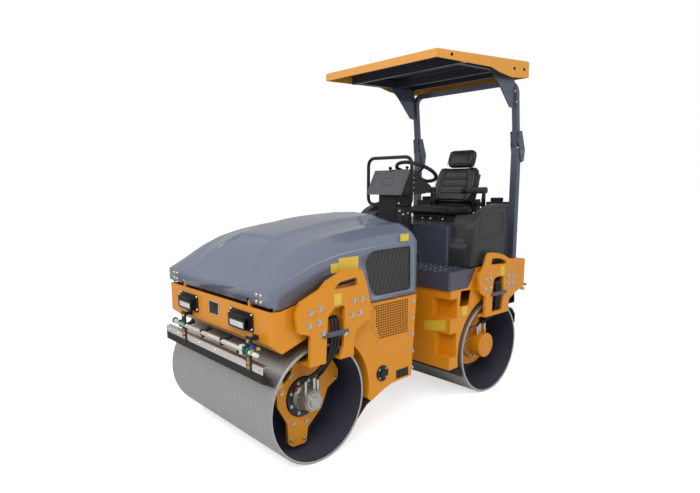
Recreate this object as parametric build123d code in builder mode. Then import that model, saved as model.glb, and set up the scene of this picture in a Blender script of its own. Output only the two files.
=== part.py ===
# Tandem road roller with two smooth drums, an articulated frame, a folding
# canopy and an open operator's place. Millimetres, +X forward, +Y to the
# machine's left, +Z up, origin on the ground midway between the drum axes.
from build123d import *
from math import cos, radians, sin, sqrt
import os

os.makedirs("parts", exist_ok=True)

# Drums and running gear
drum_radius = 360
drum_width = 1200
drum_wall = 16
wheelbase = 1740
web_inset = 280
web_wall = 12
hub_radius = 85
hub_reach = 68
axle_radius = 50
running_clearance = 0.05
arch_gap = 50
axle_x = wheelbase / 2
drum_inside = drum_radius - drum_wall
drum_web_y = drum_width / 2 - web_inset
arch_radius = drum_radius + arch_gap
arch_top = drum_radius + arch_radius

# Frames: half_width is the outside of the side plates
half_width = drum_width / 2
plate = 12
skin = 10
bend_radius = 18
nose_x = axle_x + 343
nose_bottom = arch_top + 10
nose_top = nose_bottom + 186
chin_z = arch_top - 49
chin_x = axle_x + 270
arch_step_x = axle_x + 69
arch_step_z = arch_top + 17
tail_x = axle_x + 470
front_rear_x = 15
bay_floor = 345
belly_tip_x = axle_x - 429
belly_tip_z = drum_radius - 95
hood_sill = nose_top - 67
hump_top = nose_top + 90
hump_rear_x = 497
rear_wall_x = axle_x - arch_radius - 100
rear_frame_bottom = 279
deck_z = arch_top + 228
platform_bottom = deck_z - 136
platform_slant_low = 562
platform_slant_high = 655
step_depth = 78
seat_gap = 0.3

# Drop brackets that hang the drums
bracket_gap = 50
bracket_wall = 20
bracket_corner = 20
ledge_wall = 18
support_inset = 160
support_wall = 20
motor_hole_radius = 128
motor_flange_radius = 160
motor_flange_wall = 14
bracket_face_y = half_width + bracket_gap
ledge_top = drum_radius + 280
ledge_low = ledge_top - ledge_wall
support_face_y = half_width - support_inset

# Hoses to the drum motors
hose_radius = 9
hose_pitch = 26
clamp_wall = 12
clamp_block_width = 100
clamp_block_height = 34

# Articulation
pivot_pin_radius = 30
pivot_boss_radius = 62
pivot_low = 470
pivot_high = 690
lug_wall = 34
lug_gap = 5
pocket_depth = 96
pocket_half_width = 118
swing_shaft_radius = 45
swing_bearing_radius = 78
swing_bearing_length = 130
swing_shaft_z = (pivot_low + pivot_high) / 2
swing_bearing_front_x = rear_wall_x - 60
swing_bearing_rear_x = swing_bearing_front_x + swing_bearing_length
yoke_collar_x = swing_bearing_front_x - 30

# Steering cylinder
barrel_eye_x = 36 - swing_bearing_front_x
barrel_eye_y = -120
rod_eye_x = 51
rod_eye_y = -130
cylinder_z = 400
barrel_radius = 30
barrel_end = 210
barrel_neck = 38
rod_radius = 16
rod_start = 125
eye_radius = 26
eye_wall = 30
eye_pin_radius = 12
ear_wall = 12
rod_pocket_width = 150
rod_pocket_height = 100
rod_pocket_depth = 118

# Engine
engine_x = 285
engine_length = 310
engine_width = 560
engine_height = 620
engine_rail_top = bay_floor + 40

# Hood
hood_wall = 6
hood_half_width = half_width - 5
hood_rear_x = front_rear_x
hood_lip_x = nose_x + 4
hood_lip_bottom = nose_top + 23
hood_hinge_x = nose_x - 15
hood_hinge_z = nose_top + 29
hood_crease = nose_top + 286
hood_crown = nose_top + 454
recess_depth = 14
hinge_y = 400
hinge_knuckle = 20
hinge_knuckle_radius = 11
hinge_pin_radius = 5
hinge_post = 52
hinge_notch = 17
hinge_side_gap = 0.8
grille_wall = 3
slat_height = 10
slat_pitch = 24
handle_radius = 8
handle_low = nose_top + 99
handle_high = nose_top + 209
handle_reach = 40

# Perforated panels of the engine bay
side_panel_wall = 4
hole_width = 22
hole_height = 16
hole_pitch_x = 32
hole_pitch_z = 24

# Operator's place
seat_base_front_x = 573
seat_base_rear_x = 1135
seat_base_half_width = 404
seat_base_wall = 6
seat_base_top = deck_z + 302
seat_pan_z = seat_base_top + 40
seat_pan_wall = 10
cushion_height = 72
back_origin_x = 1228
back_origin_z = seat_pan_z + 84
back_lean = 17
back_depth = 84
back_wall = 10
fender_rear_x = 1075
fender_recess = 5
fender_inner_y = seat_base_half_width + 1
tank_front_x = seat_base_rear_x + 1
tank_length = 208
tank_half_width = 450
lobe_y = 362
lobe_height = 150
console_x = 445
console_width = 190
dash_low = deck_z + 537
dash_high = dash_low + 185
dash_half_width = 165
dash_cover_run = 14
wheel_x = -690
wheel_z = dash_low + 170
wheel_radius = 162
wheel_tilt = 28
wheel_rim_radius = 15
wheel_shaft_radius = 16
column_reach = 160
rail_radius = 13
rail_half_width = 220
rail_x = 372

# Roll-over frame and canopy
post_x = 1312
post_depth = 50
post_width = 60
post_y = half_width - 111
post_top = 1880
fold_x = post_x + 33
fold_z = 1787
fold_pin_radius = 12
fold_lug_radius = 22
ear_plate = 8
ear_gap = 1
hoop_width = 43
hoop_depth = 40
hoop_foot = post_top + 5
hoop_lean = 6
hoop_length = 500
hoop_corner = 80
canopy_front_x = 213
canopy_rear_x = 1350
canopy_half_width = half_width - 55
canopy_top_front = 2502
canopy_top_rear = 2536
canopy_skirt = 58
canopy_wall = 6
canopy_bar_z = canopy_top_front - canopy_skirt - 4

# Nose fittings
lamp_y = 318
lamp_z = nose_bottom + 96
spray_x = nose_x + 67
spray_z = nose_bottom - 45
spray_arm_ys = (460, -310)


def save(block, label):
    block.part.label = label
    export_step(block.part, f"parts/{label}.step")


def save_twin(block, label):
    with BuildPart() as twin:
        mirror(block.part, about=Plane.XZ)
    save(twin, label)


def side_plane(y):
    return Plane.XZ.offset(-y)


def about_axle(angle, radius=arch_radius):
    return axle_x + radius * cos(radians(angle)), drum_radius + radius * sin(radians(angle))


def backwards(points):
    return [(-x, z) for x, z in points]


# Bent round tubes and hoses are drawn with eight sides
def tube(points, radius, corners, depth_axis=Plane.XY):
    with BuildLine(depth_axis) as line:
        FilletPolyline(*points, radius=corners)
    path = line.wires()[0]
    with BuildSketch(Plane(origin=path @ 0, z_dir=path % 0)) as section:
        RegularPolygon(radius, 8)
    return sweep(section.sketch, path=path)


# Drums: rolled shell, two webs, and hubs with a bore for the axle
def make_drum(x, label):
    with BuildPart() as drum:
        with BuildSketch(side_plane(half_width)):
            with Locations((x, drum_radius)):
                Circle(drum_radius)
                Circle(drum_inside, mode=Mode.SUBTRACT)
        extrude(amount=drum_width)
        chamfer(drum.edges().filter_by(GeomType.CIRCLE).group_by(SortBy.RADIUS)[-1], 3)
        for web_y in (drum_web_y, web_wall - drum_web_y):
            with BuildSketch(side_plane(web_y)):
                with Locations((x, drum_radius)):
                    Circle(drum_inside)
            extrude(amount=web_wall)
        with BuildSketch(side_plane(drum_web_y + hub_reach)):
            with Locations((x, drum_radius)):
                Circle(hub_radius)
        extrude(amount=2 * (drum_web_y + hub_reach))
        with BuildSketch(side_plane(drum_web_y + hub_reach)):
            with Locations((x, drum_radius)):
                Circle(axle_radius + running_clearance)
        extrude(amount=2 * (drum_web_y + hub_reach), mode=Mode.SUBTRACT)
    save(drum, label)


make_drum(axle_x, "front_drum")
make_drum(-axle_x, "rear_drum")

# Front frame: two side plates round the drum, a wrapped skin that makes the
# engine bay between them, and the lugs of the articulation at its back
front_arch = [about_axle(angle) for angle in (100, 145, 190)]
front_top = [
    (front_rear_x, hood_sill),
    (hump_rear_x - 12, hood_sill),
    (hump_rear_x, hump_top),
    (axle_x - 50, hump_top - 16),
    (axle_x + 134, nose_top + 20),
    (chin_x, nose_top - 6),
    (nose_x, nose_top),
]
front_low = [
    (nose_x, nose_top), (nose_x, nose_bottom), (chin_x, chin_z), (arch_step_x, arch_step_z), front_arch[0],
]
front_belly = [
    front_arch[2], (belly_tip_x, belly_tip_z), (312, bay_floor - 27), (245, bay_floor - 9), (56, bay_floor),
]
with BuildSketch(Plane.XZ) as front_side:
    with BuildLine():
        Polyline(*front_low)
        ThreePointArc(*front_arch)
        Polyline(*front_belly, front_top[0])
        Polyline(*front_top)
    make_face()
bay_mouth = [
    (front_rear_x + plate, hood_sill - 200),
    (front_rear_x + plate, hump_top + 50),
    (nose_x - plate, hump_top + 50),
    (nose_x - plate, arch_top + 50),
    (axle_x - 70, arch_top + 50),
    (rear_wall_x + 140, arch_top - 70),
]
side_window = [(451, 878), (95, 878), (95, 666), (368, 671), (400, 755)]
side_panel_outline = [(464, 887), (436, 729), (399, 670), (344, 645), (60, 645), (60, 890)]
with BuildPart() as front_frame:
    with BuildSketch(side_plane(half_width)):
        add(front_side.sketch)
    extrude(amount=drum_width)
    nose_edges = front_frame.edges().filter_by(Axis.Z).filter_by_position(Axis.X, nose_x - 1, nose_x + 1)
    fillet(nose_edges, bend_radius)
    with BuildSketch(side_plane(half_width - plate)):
        add(front_side.sketch)
        offset(amount=-skin, mode=Mode.REPLACE)
        Polygon(*bay_mouth, align=None)
    extrude(amount=drum_width - 2 * plate, mode=Mode.SUBTRACT)
    with BuildSketch(side_plane(half_width)) as window:
        Polygon(*side_window, align=None)
        fillet(window.vertices(), 20)
    extrude(amount=drum_width, mode=Mode.SUBTRACT)
    with BuildSketch(Plane.XY.offset(pivot_low - lug_gap - lug_wall)):
        with Locations(((front_rear_x + pocket_depth) / 2, 0)):
            Rectangle(pocket_depth - front_rear_x, 2 * pocket_half_width)
    extrude(amount=pivot_high - pivot_low + 2 * (lug_gap + lug_wall))
    with BuildSketch(Plane.XY.offset(pivot_low - lug_gap)):
        with Locations(((pocket_depth - plate - 60) / 2, 0)):
            Rectangle(pocket_depth - plate + 60, 2 * (pocket_half_width - plate))
    extrude(amount=pivot_high - pivot_low + 2 * lug_gap, mode=Mode.SUBTRACT)
    for lug_z in (pivot_low - lug_gap - lug_wall, pivot_high + lug_gap):
        with BuildSketch(Plane.XY.offset(lug_z)):
            Circle(pivot_boss_radius)
            with Locations((pocket_depth / 4, 0)):
                Rectangle(pocket_depth / 2, 2 * pivot_boss_radius)
        extrude(amount=lug_wall)
    with BuildSketch(Plane.XY.offset(pivot_low - lug_gap - lug_wall)):
        Circle(pivot_pin_radius + running_clearance)
    extrude(amount=pivot_high - pivot_low + 2 * (lug_gap + lug_wall), mode=Mode.SUBTRACT)
    with BuildSketch(Plane.YZ.offset(front_rear_x)):
        with Locations((rod_eye_y, cylinder_z)):
            Rectangle(rod_pocket_width + 16, rod_pocket_height + 16)
    extrude(amount=rod_pocket_depth - front_rear_x)
    with BuildSketch(Plane.YZ.offset(-5)):
        with Locations((rod_eye_y, cylinder_z)):
            Rectangle(rod_pocket_width, rod_pocket_height)
    extrude(amount=rod_pocket_depth - 8 + 5, mode=Mode.SUBTRACT)
    for ear_z in (cylinder_z - eye_wall / 2 - 3 - ear_wall, cylinder_z + eye_wall / 2 + 3):
        with BuildSketch(Plane.XY.offset(ear_z)):
            with Locations((rod_eye_x, rod_eye_y)):
                Circle(eye_radius - 2)
            with Locations(((rod_eye_x + rod_pocket_depth) / 2, rod_eye_y)):
                Rectangle(rod_pocket_depth - rod_eye_x, 2 * eye_radius - 4)
        extrude(amount=ear_wall)
    with BuildSketch(Plane.XY.offset(bay_floor - 5)):
        with Locations((engine_x, engine_width / 2 - 50), (engine_x, 50 - engine_width / 2)):
            Rectangle(engine_length + 20, 60)
    extrude(amount=engine_rail_top - bay_floor + 5)
    for ear_y in (hinge_y, hinge_knuckle - hinge_y):
        with BuildSketch(side_plane(ear_y)):
            with Locations((hood_hinge_x, hood_hinge_z)):
                Circle(hinge_knuckle_radius)
            with Locations((hood_hinge_x, hood_hinge_z - hinge_post / 2)):
                Rectangle(2 * hinge_knuckle_radius, hinge_post)
            with Locations((hood_hinge_x, hood_hinge_z)):
                Circle(hinge_pin_radius + running_clearance, mode=Mode.SUBTRACT)
        extrude(amount=hinge_knuckle)
save(front_frame, "front_frame")

# Perforated panels over the windows of the engine bay
with BuildPart() as side_panel:
    with BuildSketch(side_plane(half_width + seat_gap + side_panel_wall)) as panel_face:
        Polygon(*side_panel_outline, align=None)
        fillet(panel_face.vertices(), 12)
        with BuildSketch(mode=Mode.PRIVATE) as hole_field:
            Polygon(*side_window, align=None)
            offset(amount=-8)
        with BuildSketch(mode=Mode.PRIVATE) as holes:
            with Locations((265, 777)):
                with GridLocations(hole_pitch_x, hole_pitch_z, 11, 9):
                    Rectangle(hole_width, hole_height)
        inside = [
            hole for hole in holes.sketch.faces()
            if (hole & hole_field.sketch) and (hole & hole_field.sketch).area > 0.95 * hole_width * hole_height
        ]
        add(inside, mode=Mode.SUBTRACT)
    extrude(amount=side_panel_wall)
    mirror(about=Plane.XZ)
save(side_panel, "side_grilles")

# Rear frame: closed box in front of the drum with step pockets, side plates
# with the wheel arch, deck and bearing housing of the articulation
rear_arch = backwards([about_axle(angle) for angle in (100, 145, 191)])
with BuildSketch(Plane.XZ) as rear_side:
    with BuildLine():
        Polyline(
            rear_arch[2],
            (-rear_wall_x, rear_frame_bottom),
            (-rear_wall_x, platform_bottom - seat_gap),
            (-platform_slant_low, platform_bottom - seat_gap),
            (-platform_slant_high, deck_z),
            (-tail_x, deck_z),
            (-tail_x, nose_bottom),
            (-chin_x, chin_z),
            (-arch_step_x, arch_step_z),
            rear_arch[0],
        )
        ThreePointArc(*rear_arch)
    make_face()
step_pockets = ((655, 800, half_width - 153), (368, 548, half_width - 125))
rear_window = [(-478, 849), (-607, 842), (-582, 730), (-466, 733)]
with BuildPart() as rear_frame:
    with BuildSketch(side_plane(half_width)):
        add(rear_side.sketch)
    extrude(amount=drum_width)
    tail_edges = rear_frame.edges().filter_by(Axis.Z).filter_by_position(Axis.X, -tail_x - 1, 1 - tail_x)
    fillet(tail_edges, bend_radius)
    with BuildSketch(side_plane(half_width - plate)):
        add(rear_side.sketch)
        offset(amount=-skin, mode=Mode.REPLACE)
    extrude(amount=drum_width - 2 * plate, mode=Mode.SUBTRACT)
    with BuildSketch(side_plane(half_width)) as rear_window_face:
        Polygon(*rear_window, align=None)
        fillet(rear_window_face.vertices(), 15)
    extrude(amount=drum_width, mode=Mode.SUBTRACT)
    for low, high, inner_y in step_pockets:
        for side in (1, -1):
            with BuildSketch(Plane.XY.offset(low - skin)):
                with Locations((-rear_wall_x - (step_depth + skin) / 2, side * (inner_y - skin + half_width) / 2)):
                    Rectangle(step_depth + skin, half_width - inner_y + skin)
            extrude(amount=high - low + 2 * skin)
            with BuildSketch(Plane.XY.offset(low)):
                with Locations((-rear_wall_x - step_depth / 2, side * (inner_y + half_width) / 2)):
                    Rectangle(step_depth, half_width - inner_y)
            extrude(amount=high - low, mode=Mode.SUBTRACT)
    with BuildSketch(Plane.YZ.offset(-swing_bearing_rear_x)):
        with Locations((0, swing_shaft_z)):
            Circle(swing_bearing_radius)
    extrude(amount=swing_bearing_length)
    with BuildSketch(Plane.YZ.offset(-swing_bearing_rear_x)):
        with Locations((0, swing_shaft_z)):
            Circle(swing_shaft_radius + running_clearance)
    extrude(amount=swing_bearing_length, mode=Mode.SUBTRACT)
save(rear_frame, "rear_frame")

# Articulation yoke: pin boss, arm and swing shaft in one casting
yoke_ear_wall = 14
with BuildPart() as yoke:
    with BuildSketch(Plane.XY.offset(pivot_low)):
        Circle(pivot_boss_radius)
    extrude(amount=pivot_high - pivot_low)
    with BuildSketch(Plane.XY.offset(pivot_low - lug_gap - lug_wall)):
        Circle(pivot_pin_radius)
    extrude(amount=pivot_high - pivot_low + 2 * (lug_gap + lug_wall))
    with BuildSketch(Plane.XY.offset(pivot_low + 20)):
        with Locations((-yoke_collar_x / 2 - 10, 0)):
            Rectangle(yoke_collar_x - 20, 96)
    extrude(amount=pivot_high - pivot_low - 40)
    with BuildSketch(Plane.YZ.offset(-yoke_collar_x)):
        with Locations((0, swing_shaft_z)):
            Circle(96)
    extrude(amount=-(swing_bearing_front_x - yoke_collar_x - lug_gap))
    with BuildSketch(Plane.YZ.offset(-yoke_collar_x)):
        with Locations((0, swing_shaft_z)):
            Circle(swing_shaft_radius)
    extrude(amount=-(swing_bearing_rear_x - yoke_collar_x))
    for ear_z in (cylinder_z - eye_wall / 2 - 1 - yoke_ear_wall, cylinder_z + eye_wall / 2 + 1):
        with BuildSketch(Plane.XY.offset(ear_z)):
            with Locations((barrel_eye_x, barrel_eye_y)):
                Circle(eye_radius + 2)
            with Locations((barrel_eye_x, barrel_eye_y / 2)):
                Rectangle(2 * eye_radius + 4, abs(barrel_eye_y))
        extrude(amount=yoke_ear_wall)
    with BuildSketch(Plane.XY.offset(cylinder_z - eye_wall / 2 - 1 - yoke_ear_wall)):
        with Locations((barrel_eye_x, 0)):
            Rectangle(2 * eye_radius + 4, 60)
    extrude(amount=pivot_low + 30 - cylinder_z + eye_wall / 2 + 1 + yoke_ear_wall)
    with BuildSketch(Plane.XY.offset(cylinder_z - eye_wall / 2 - 1 - yoke_ear_wall)):
        with Locations((barrel_eye_x, barrel_eye_y)):
            Circle(eye_pin_radius)
    extrude(amount=eye_wall + 2 * (1 + yoke_ear_wall))
save(yoke, "articulation_yoke")

# Steering cylinder: barrel with its eye, and rod with its eye
cylinder_plane = Plane(
    origin=(barrel_eye_x, barrel_eye_y, cylinder_z),
    x_dir=(rod_eye_x - barrel_eye_x, rod_eye_y - barrel_eye_y, 0),
    z_dir=(0, 0, 1),
)
cylinder_length = sqrt((rod_eye_x - barrel_eye_x) ** 2 + (rod_eye_y - barrel_eye_y) ** 2)
along = Plane(origin=cylinder_plane.origin, x_dir=(0, 0, 1), z_dir=cylinder_plane.x_dir)
with BuildPart() as barrel:
    with BuildSketch(cylinder_plane.offset(-eye_wall / 2)):
        Circle(eye_radius)
    extrude(amount=eye_wall)
    with BuildSketch(along.offset(10)):
        Circle(eye_wall / 2 - 1)
    extrude(amount=barrel_neck - 10)
    with BuildSketch(along.offset(barrel_neck)):
        Circle(barrel_radius)
    extrude(amount=barrel_end - barrel_neck)
    with BuildSketch(cylinder_plane.offset(-eye_wall / 2)):
        Circle(eye_pin_radius + running_clearance)
    extrude(amount=eye_wall, mode=Mode.SUBTRACT)
    with BuildSketch(along.offset(barrel_neck + 12)):
        Circle(rod_radius + running_clearance)
    extrude(amount=barrel_end, mode=Mode.SUBTRACT)
save(barrel, "steering_barrel")

with BuildPart() as rod:
    with BuildSketch(cylinder_plane.offset(-eye_wall / 2)):
        with Locations((cylinder_length, 0)):
            Circle(eye_radius)
    extrude(amount=eye_wall)
    with BuildSketch(along.offset(rod_start)):
        Circle(rod_radius)
    extrude(amount=cylinder_length - rod_start)
    with BuildSketch(cylinder_plane.offset(-eye_wall / 2)):
        with Locations((cylinder_length, 0)):
            Circle(eye_pin_radius)
    extrude(amount=eye_wall, mode=Mode.SUBTRACT)
save(rod, "steering_rod")


# Drop bracket: bolted plate with lifting slot and hose opening, spacers to the
# frame, ledge into the drum and the ring plate that carries the motor
bracket_top = [
    (193, ledge_top + 28), (184, 805), (276, 834), (288, 942), (259, 1004), (115, 1056),
    (62, 1100), (-76, 1147), (-214, 1137), (-248, 1067), (-291, 907), (-284, 828), (-165, 775), (-149, 680),
]
hose_opening = [(-35, ledge_low), (-67, 702), (-76, 941), (10, 937), (57, 886), (74, ledge_low)]
lifting_slot = [(17, 1043), (-37, 1082), (-173, 1094), (-181, 1045), (-76, 1041)]
ring_outline = [
    (115, ledge_top), (78, 588), (84, 526), (128, 482), (195, 451), (193, 340), (120, 215),
    (113, 82), (80, 56), (-27, 54), (-39, 151), (-149, 245), (-204, 366), (-286, 405),
    (-294, 462), (-254, 526), (-176, ledge_low), (-176, ledge_top),
]


def make_bracket(x, shift, sense, label):
    def place(points, offset_x=0):
        return [(x + sense * (px + offset_x), pz) for px, pz in points]

    with BuildPart() as bracket:
        with BuildSketch(side_plane(bracket_face_y)) as face:
            Polygon(*place(bracket_top, shift), align=None)
            fillet(face.vertices().filter_by_position(Axis.Y, arch_top + 20, hump_top + 150), bracket_corner)
            Polygon(
                *place([(-149, ledge_low), (-149, 684), (193, ledge_top + 31), (193, ledge_low)], shift), align=None
            )
            with BuildSketch(mode=Mode.PRIVATE) as opening:
                Polygon(*place(hose_opening, shift), align=None)
                fillet(opening.vertices().filter_by_position(Axis.Y, ledge_top + 20, hump_top), 12)
            add(opening.sketch, mode=Mode.SUBTRACT)
            with BuildSketch(mode=Mode.PRIVATE) as slot:
                Polygon(*place(lifting_slot, shift), align=None)
                fillet(slot.vertices(), 8)
            add(slot.sketch, mode=Mode.SUBTRACT)
        extrude(amount=bracket_wall)
        for px, pz in ((153, 900), (-173, 912)):
            with BuildSketch(side_plane(bracket_face_y - bracket_wall)):
                with Locations((x + sense * (px + shift), pz)):
                    RectangleRounded(170, 150, 20)
            extrude(amount=bracket_gap - bracket_wall - seat_gap)
        with BuildSketch(Plane.XY.offset(ledge_low)):
            Polygon(
                *[(x + sense * px, py) for px, py in (
                    (-176, support_face_y), (-176, half_width + 12), (-149 + shift, half_width + 12),
                    (-149 + shift, bracket_face_y), (-35 + shift, bracket_face_y), (-35 + shift, half_width - 10),
                    (74 + shift, half_width - 10), (74 + shift, bracket_face_y), (115, bracket_face_y),
                    (115, support_face_y),
                )],
                align=None,
            )
        extrude(amount=ledge_wall)
        with BuildSketch(side_plane(support_face_y)) as ring:
            Polygon(*place(ring_outline), align=None)
            fillet(ring.vertices().filter_by_position(Axis.Y, 0, ledge_low - 10), 22)
            with Locations((x, drum_radius)):
                Circle(motor_hole_radius, mode=Mode.SUBTRACT)
        extrude(amount=support_wall)
    save(bracket, f"{label}_left")
    save_twin(bracket, f"{label}_right")


front_shift = -80
rear_shift = 14
make_bracket(axle_x, front_shift, 1, "front_bracket")
make_bracket(-axle_x, rear_shift, -1, "rear_bracket")

# Drive motors: flange behind the ring plate, axle stub in the drum's hub, and
# outside it the body with a port block and three ports for the hoses
port_xs = (-52, -24, 42)
port_rises = (12, 28, 20)
port_y = support_face_y + 80
port_radius = 11
port_block = (132, 46, 44)


def make_motor(x, sense, body_radius, body_face, label):
    flange_y = support_face_y - support_wall
    with BuildPart() as motor:
        with BuildSketch(side_plane(flange_y)):
            with Locations((x, drum_radius)):
                Circle(motor_flange_radius)
        extrude(amount=motor_flange_wall)
        with BuildSketch(side_plane(flange_y)):
            with Locations((x, drum_radius)):
                Circle(axle_radius)
        extrude(amount=flange_y - drum_web_y)
        with BuildSketch(side_plane(flange_y)):
            with Locations((x, drum_radius)):
                Circle(motor_hole_radius - 6)
        extrude(amount=-30)
        with BuildSketch(side_plane(flange_y + 30)):
            with Locations((x, drum_radius)):
                Circle(body_radius)
        extrude(amount=-(body_face - flange_y - 30))
        with BuildSketch(Plane.XY.offset(drum_radius - 32)):
            with Locations((x - sense * 5, port_y)):
                Rectangle(port_block[0], port_block[1])
        extrude(amount=port_block[2])
        for port_x, rise in zip(port_xs, port_rises):
            with BuildSketch(Plane.XY.offset(drum_radius)):
                with Locations((x + sense * port_x, port_y)):
                    Circle(port_radius)
            extrude(amount=body_radius + rise)
    save(motor, f"{label}_left")
    save_twin(motor, f"{label}_right")


front_body_radius = 62
rear_body_radius = 95
make_motor(axle_x, 1, front_body_radius, support_face_y + 100, "front_motor")
make_motor(-axle_x, -1, rear_body_radius, support_face_y + 125, "rear_motor")


# Hoses: out of the frame behind the bracket, through a clamp on its face, down
# through its opening and inwards to the ports of the motor
clamp_z = arch_top + 15
hose_y = bracket_face_y - 4


def make_hoses(x, shift, sense, body_radius, label):
    middle = x + sense * (shift - 2)
    gathered = x + sense * (shift + 19.5)
    with BuildPart() as hoses:
        with BuildSketch(side_plane(bracket_face_y + clamp_wall)):
            with Locations((middle, clamp_z)):
                RectangleRounded(2 * clamp_block_width, clamp_block_height - 4, 8)
        extrude(amount=clamp_wall)
        with BuildSketch(side_plane(bracket_face_y + clamp_wall)):
            with Locations((middle, clamp_z)):
                Rectangle(clamp_block_width, clamp_block_height)
        extrude(amount=clamp_wall + 18)
        with BuildSketch(Plane.XY.offset(clamp_z - clamp_block_height)):
            with Locations(*[(middle + step * hose_pitch, hose_y) for step in (-1, 0, 1)]):
                Circle(hose_radius + seat_gap)
        extrude(amount=2 * clamp_block_height, mode=Mode.SUBTRACT)
        for step, port_x, rise in zip((-1, 0, 1), port_xs, port_rises):
            hose_x = middle + sense * hose_pitch * step
            gathered_x = gathered + sense * 22 * step
            end_x = x + sense * port_x
            end_z = drum_radius + body_radius + rise
            tube(
                [
                    (hose_x, half_width + seat_gap, clamp_z + 100),
                    (hose_x, hose_y, clamp_z + 100),
                    (hose_x, hose_y, clamp_z - 75),
                    (gathered_x, half_width + 12, ledge_low - 10),
                    (end_x, port_y, end_z + 60),
                    (end_x, port_y, end_z),
                ],
                hose_radius,
                [30, 60, 60, 40],
            )
        mirror(about=Plane.XZ)
    save(hoses, label)


make_hoses(axle_x, front_shift, 1, front_body_radius, "front_hoses")
make_hoses(-axle_x, rear_shift, -1, rear_body_radius, "rear_hoses")


# Hood: folded shell over the engine, with a flute along each shoulder and a
# sunken centre panel in its nose, hinged at its front lip
hood_stations = [
    (hood_rear_x, hood_crease, hood_crown, 0, 205),
    (400, hood_crease - 3, hood_crown - 16, 0, 205),
    (700, hood_crease - 21, hood_crown - 56, 0, 195),
    (871, hood_crease - 54, hood_crown - 94, 0, 182),
    (893, hood_crease - 60, hood_crown - 101, 1, 185),
    (1000, hood_crease - 93, hood_crown - 152, 1, 215),
    (1110, hood_crease - 134, hood_crown - 240, 1, 252),
    (hood_lip_x, hood_crease - 180, hood_crown - 338, 1, 280),
]


def hood_section(x, crease, crown, sunk, panel_half, inset):
    half = hood_half_width - inset
    rise = crown - crease
    low = crease - inset * 0.7
    high = crown - inset
    panel = high - 0.05 * rise
    right_half = [
        (half, low),
        (0.92 * half, low + 0.37 * rise),
        (0.76 * half, low + 0.65 * rise),
        (0.61 * half, low + 0.69 * rise),
        (panel_half + 60, panel - 0.13 * rise),
        (panel_half, panel),
        (panel_half - 12, panel - sunk * recess_depth),
        (0, high - sunk * recess_depth),
    ]
    left_half = [(-y, z) for y, z in right_half[-2::-1]]
    floor = ledge_top + 200 + inset
    with BuildSketch(Plane.YZ.offset(x)) as section:
        Polygon((half, floor), *right_half, *left_half, (-half, floor), align=None)
    return section.sketch


with BuildPart() as hood:
    loft(sections=[hood_section(*station, 0) for station in hood_stations], ruled=True)
    inner_stations = list(hood_stations)
    inner_stations[0] = (hood_rear_x + hood_wall,) + hood_stations[0][1:]
    inner_stations[-1] = (hood_lip_x - hood_wall,) + hood_stations[-1][1:]
    loft(sections=[hood_section(*station, hood_wall) for station in inner_stations], ruled=True, mode=Mode.SUBTRACT)
    with BuildSketch(side_plane(half_width)):
        Polygon(
            (-50, 0), (-50, hood_sill + 5), (hump_rear_x - 20, hood_sill + 5), (hump_rear_x - 16, hump_top + 6),
            (axle_x - 28, hump_top), (axle_x + 32, nose_top + 70), (axle_x + 134, nose_top + 28),
            (chin_x, nose_top + 2), (nose_x - 23, nose_top + 2), (nose_x - 23, hood_lip_bottom),
            (nose_x + 90, hood_lip_bottom), (nose_x + 90, 0), align=None,
        )
    extrude(amount=drum_width, mode=Mode.SUBTRACT)
    with BuildSketch(side_plane(half_width)) as hood_window:
        Polygon((451, 997), (495, 1164), (470, 1204), (427, 1232), (78, 1235), (70, 939), (406, 940), align=None)
        fillet(hood_window.vertices().filter_by_position(Axis.X, 0, 450), 16)
    extrude(amount=drum_width, mode=Mode.SUBTRACT)
    for side in (1, -1):
        with BuildSketch(side_plane(side * (hinge_y + 7))):
            with Locations((hood_hinge_x, hood_hinge_z)):
                Circle(hinge_knuckle_radius - 1)
            with Locations((hood_hinge_x + 6, hood_hinge_z + 22)):
                Rectangle(20, 44)
        extrude(amount=side * 6)
        with BuildSketch(side_plane(side * (hinge_y + 3))):
            with Locations((hood_hinge_x, hood_hinge_z)):
                Circle(hinge_pin_radius)
        extrude(amount=side * hinge_knuckle)
    for notch_y in (hinge_y + hinge_side_gap, hinge_knuckle + 6 - hinge_side_gap - hinge_y):
        with BuildSketch(side_plane(notch_y)):
            with Locations((hood_lip_x, hood_hinge_z)):
                Rectangle(2 * hinge_notch, 2 * hinge_notch)
        extrude(amount=hinge_knuckle + 6, mode=Mode.SUBTRACT)
save(hood, "hood")

# Louvred grilles behind the side windows of the hood
grille_outline = [(466, 1000), (508, 1164), (480, 1216), (427, 1240), (66, 1240), (58, 927), (416, 928)]
with BuildPart() as hood_grille:
    with BuildSketch(side_plane(hood_half_width - hood_wall - seat_gap)):
        Polygon(*grille_outline, align=None)
    extrude(amount=grille_wall)
    with BuildSketch(side_plane(hood_half_width - hood_wall - seat_gap)):
        for index in range(12):
            slot_z = 953 + slat_pitch * index
            slot_end = min(418 + 0.36 * max(slot_z - 960, 0), 470 - 0.9 * max(slot_z - 1180, 0))
            with Locations(((84 + slot_end) / 2, slot_z)):
                Rectangle(slot_end - 84, slat_pitch - slat_height)
    extrude(amount=grille_wall, mode=Mode.SUBTRACT)
    mirror(about=Plane.XZ)
save(hood_grille, "hood_grilles")

# Grab handles on the rear edge of the hood
with BuildPart() as handles:
    tube(
        [
            (hood_rear_x, hood_half_width - 16, handle_low), (hood_rear_x - handle_reach, hood_half_width - 16, handle_low),
            (hood_rear_x - handle_reach, hood_half_width - 16, handle_high), (hood_rear_x, hood_half_width - 16, handle_high),
        ],
        handle_radius,
        20,
    )
    mirror(about=Plane.XZ)
save(handles, "hood_handles")

# Engine: one plain block in the bay
with BuildPart() as engine:
    with BuildSketch(Plane.XY.offset(engine_rail_top)):
        with Locations((engine_x, 0)):
            Rectangle(engine_length, engine_width)
    extrude(amount=engine_height)
save(engine, "engine_block")

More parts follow.
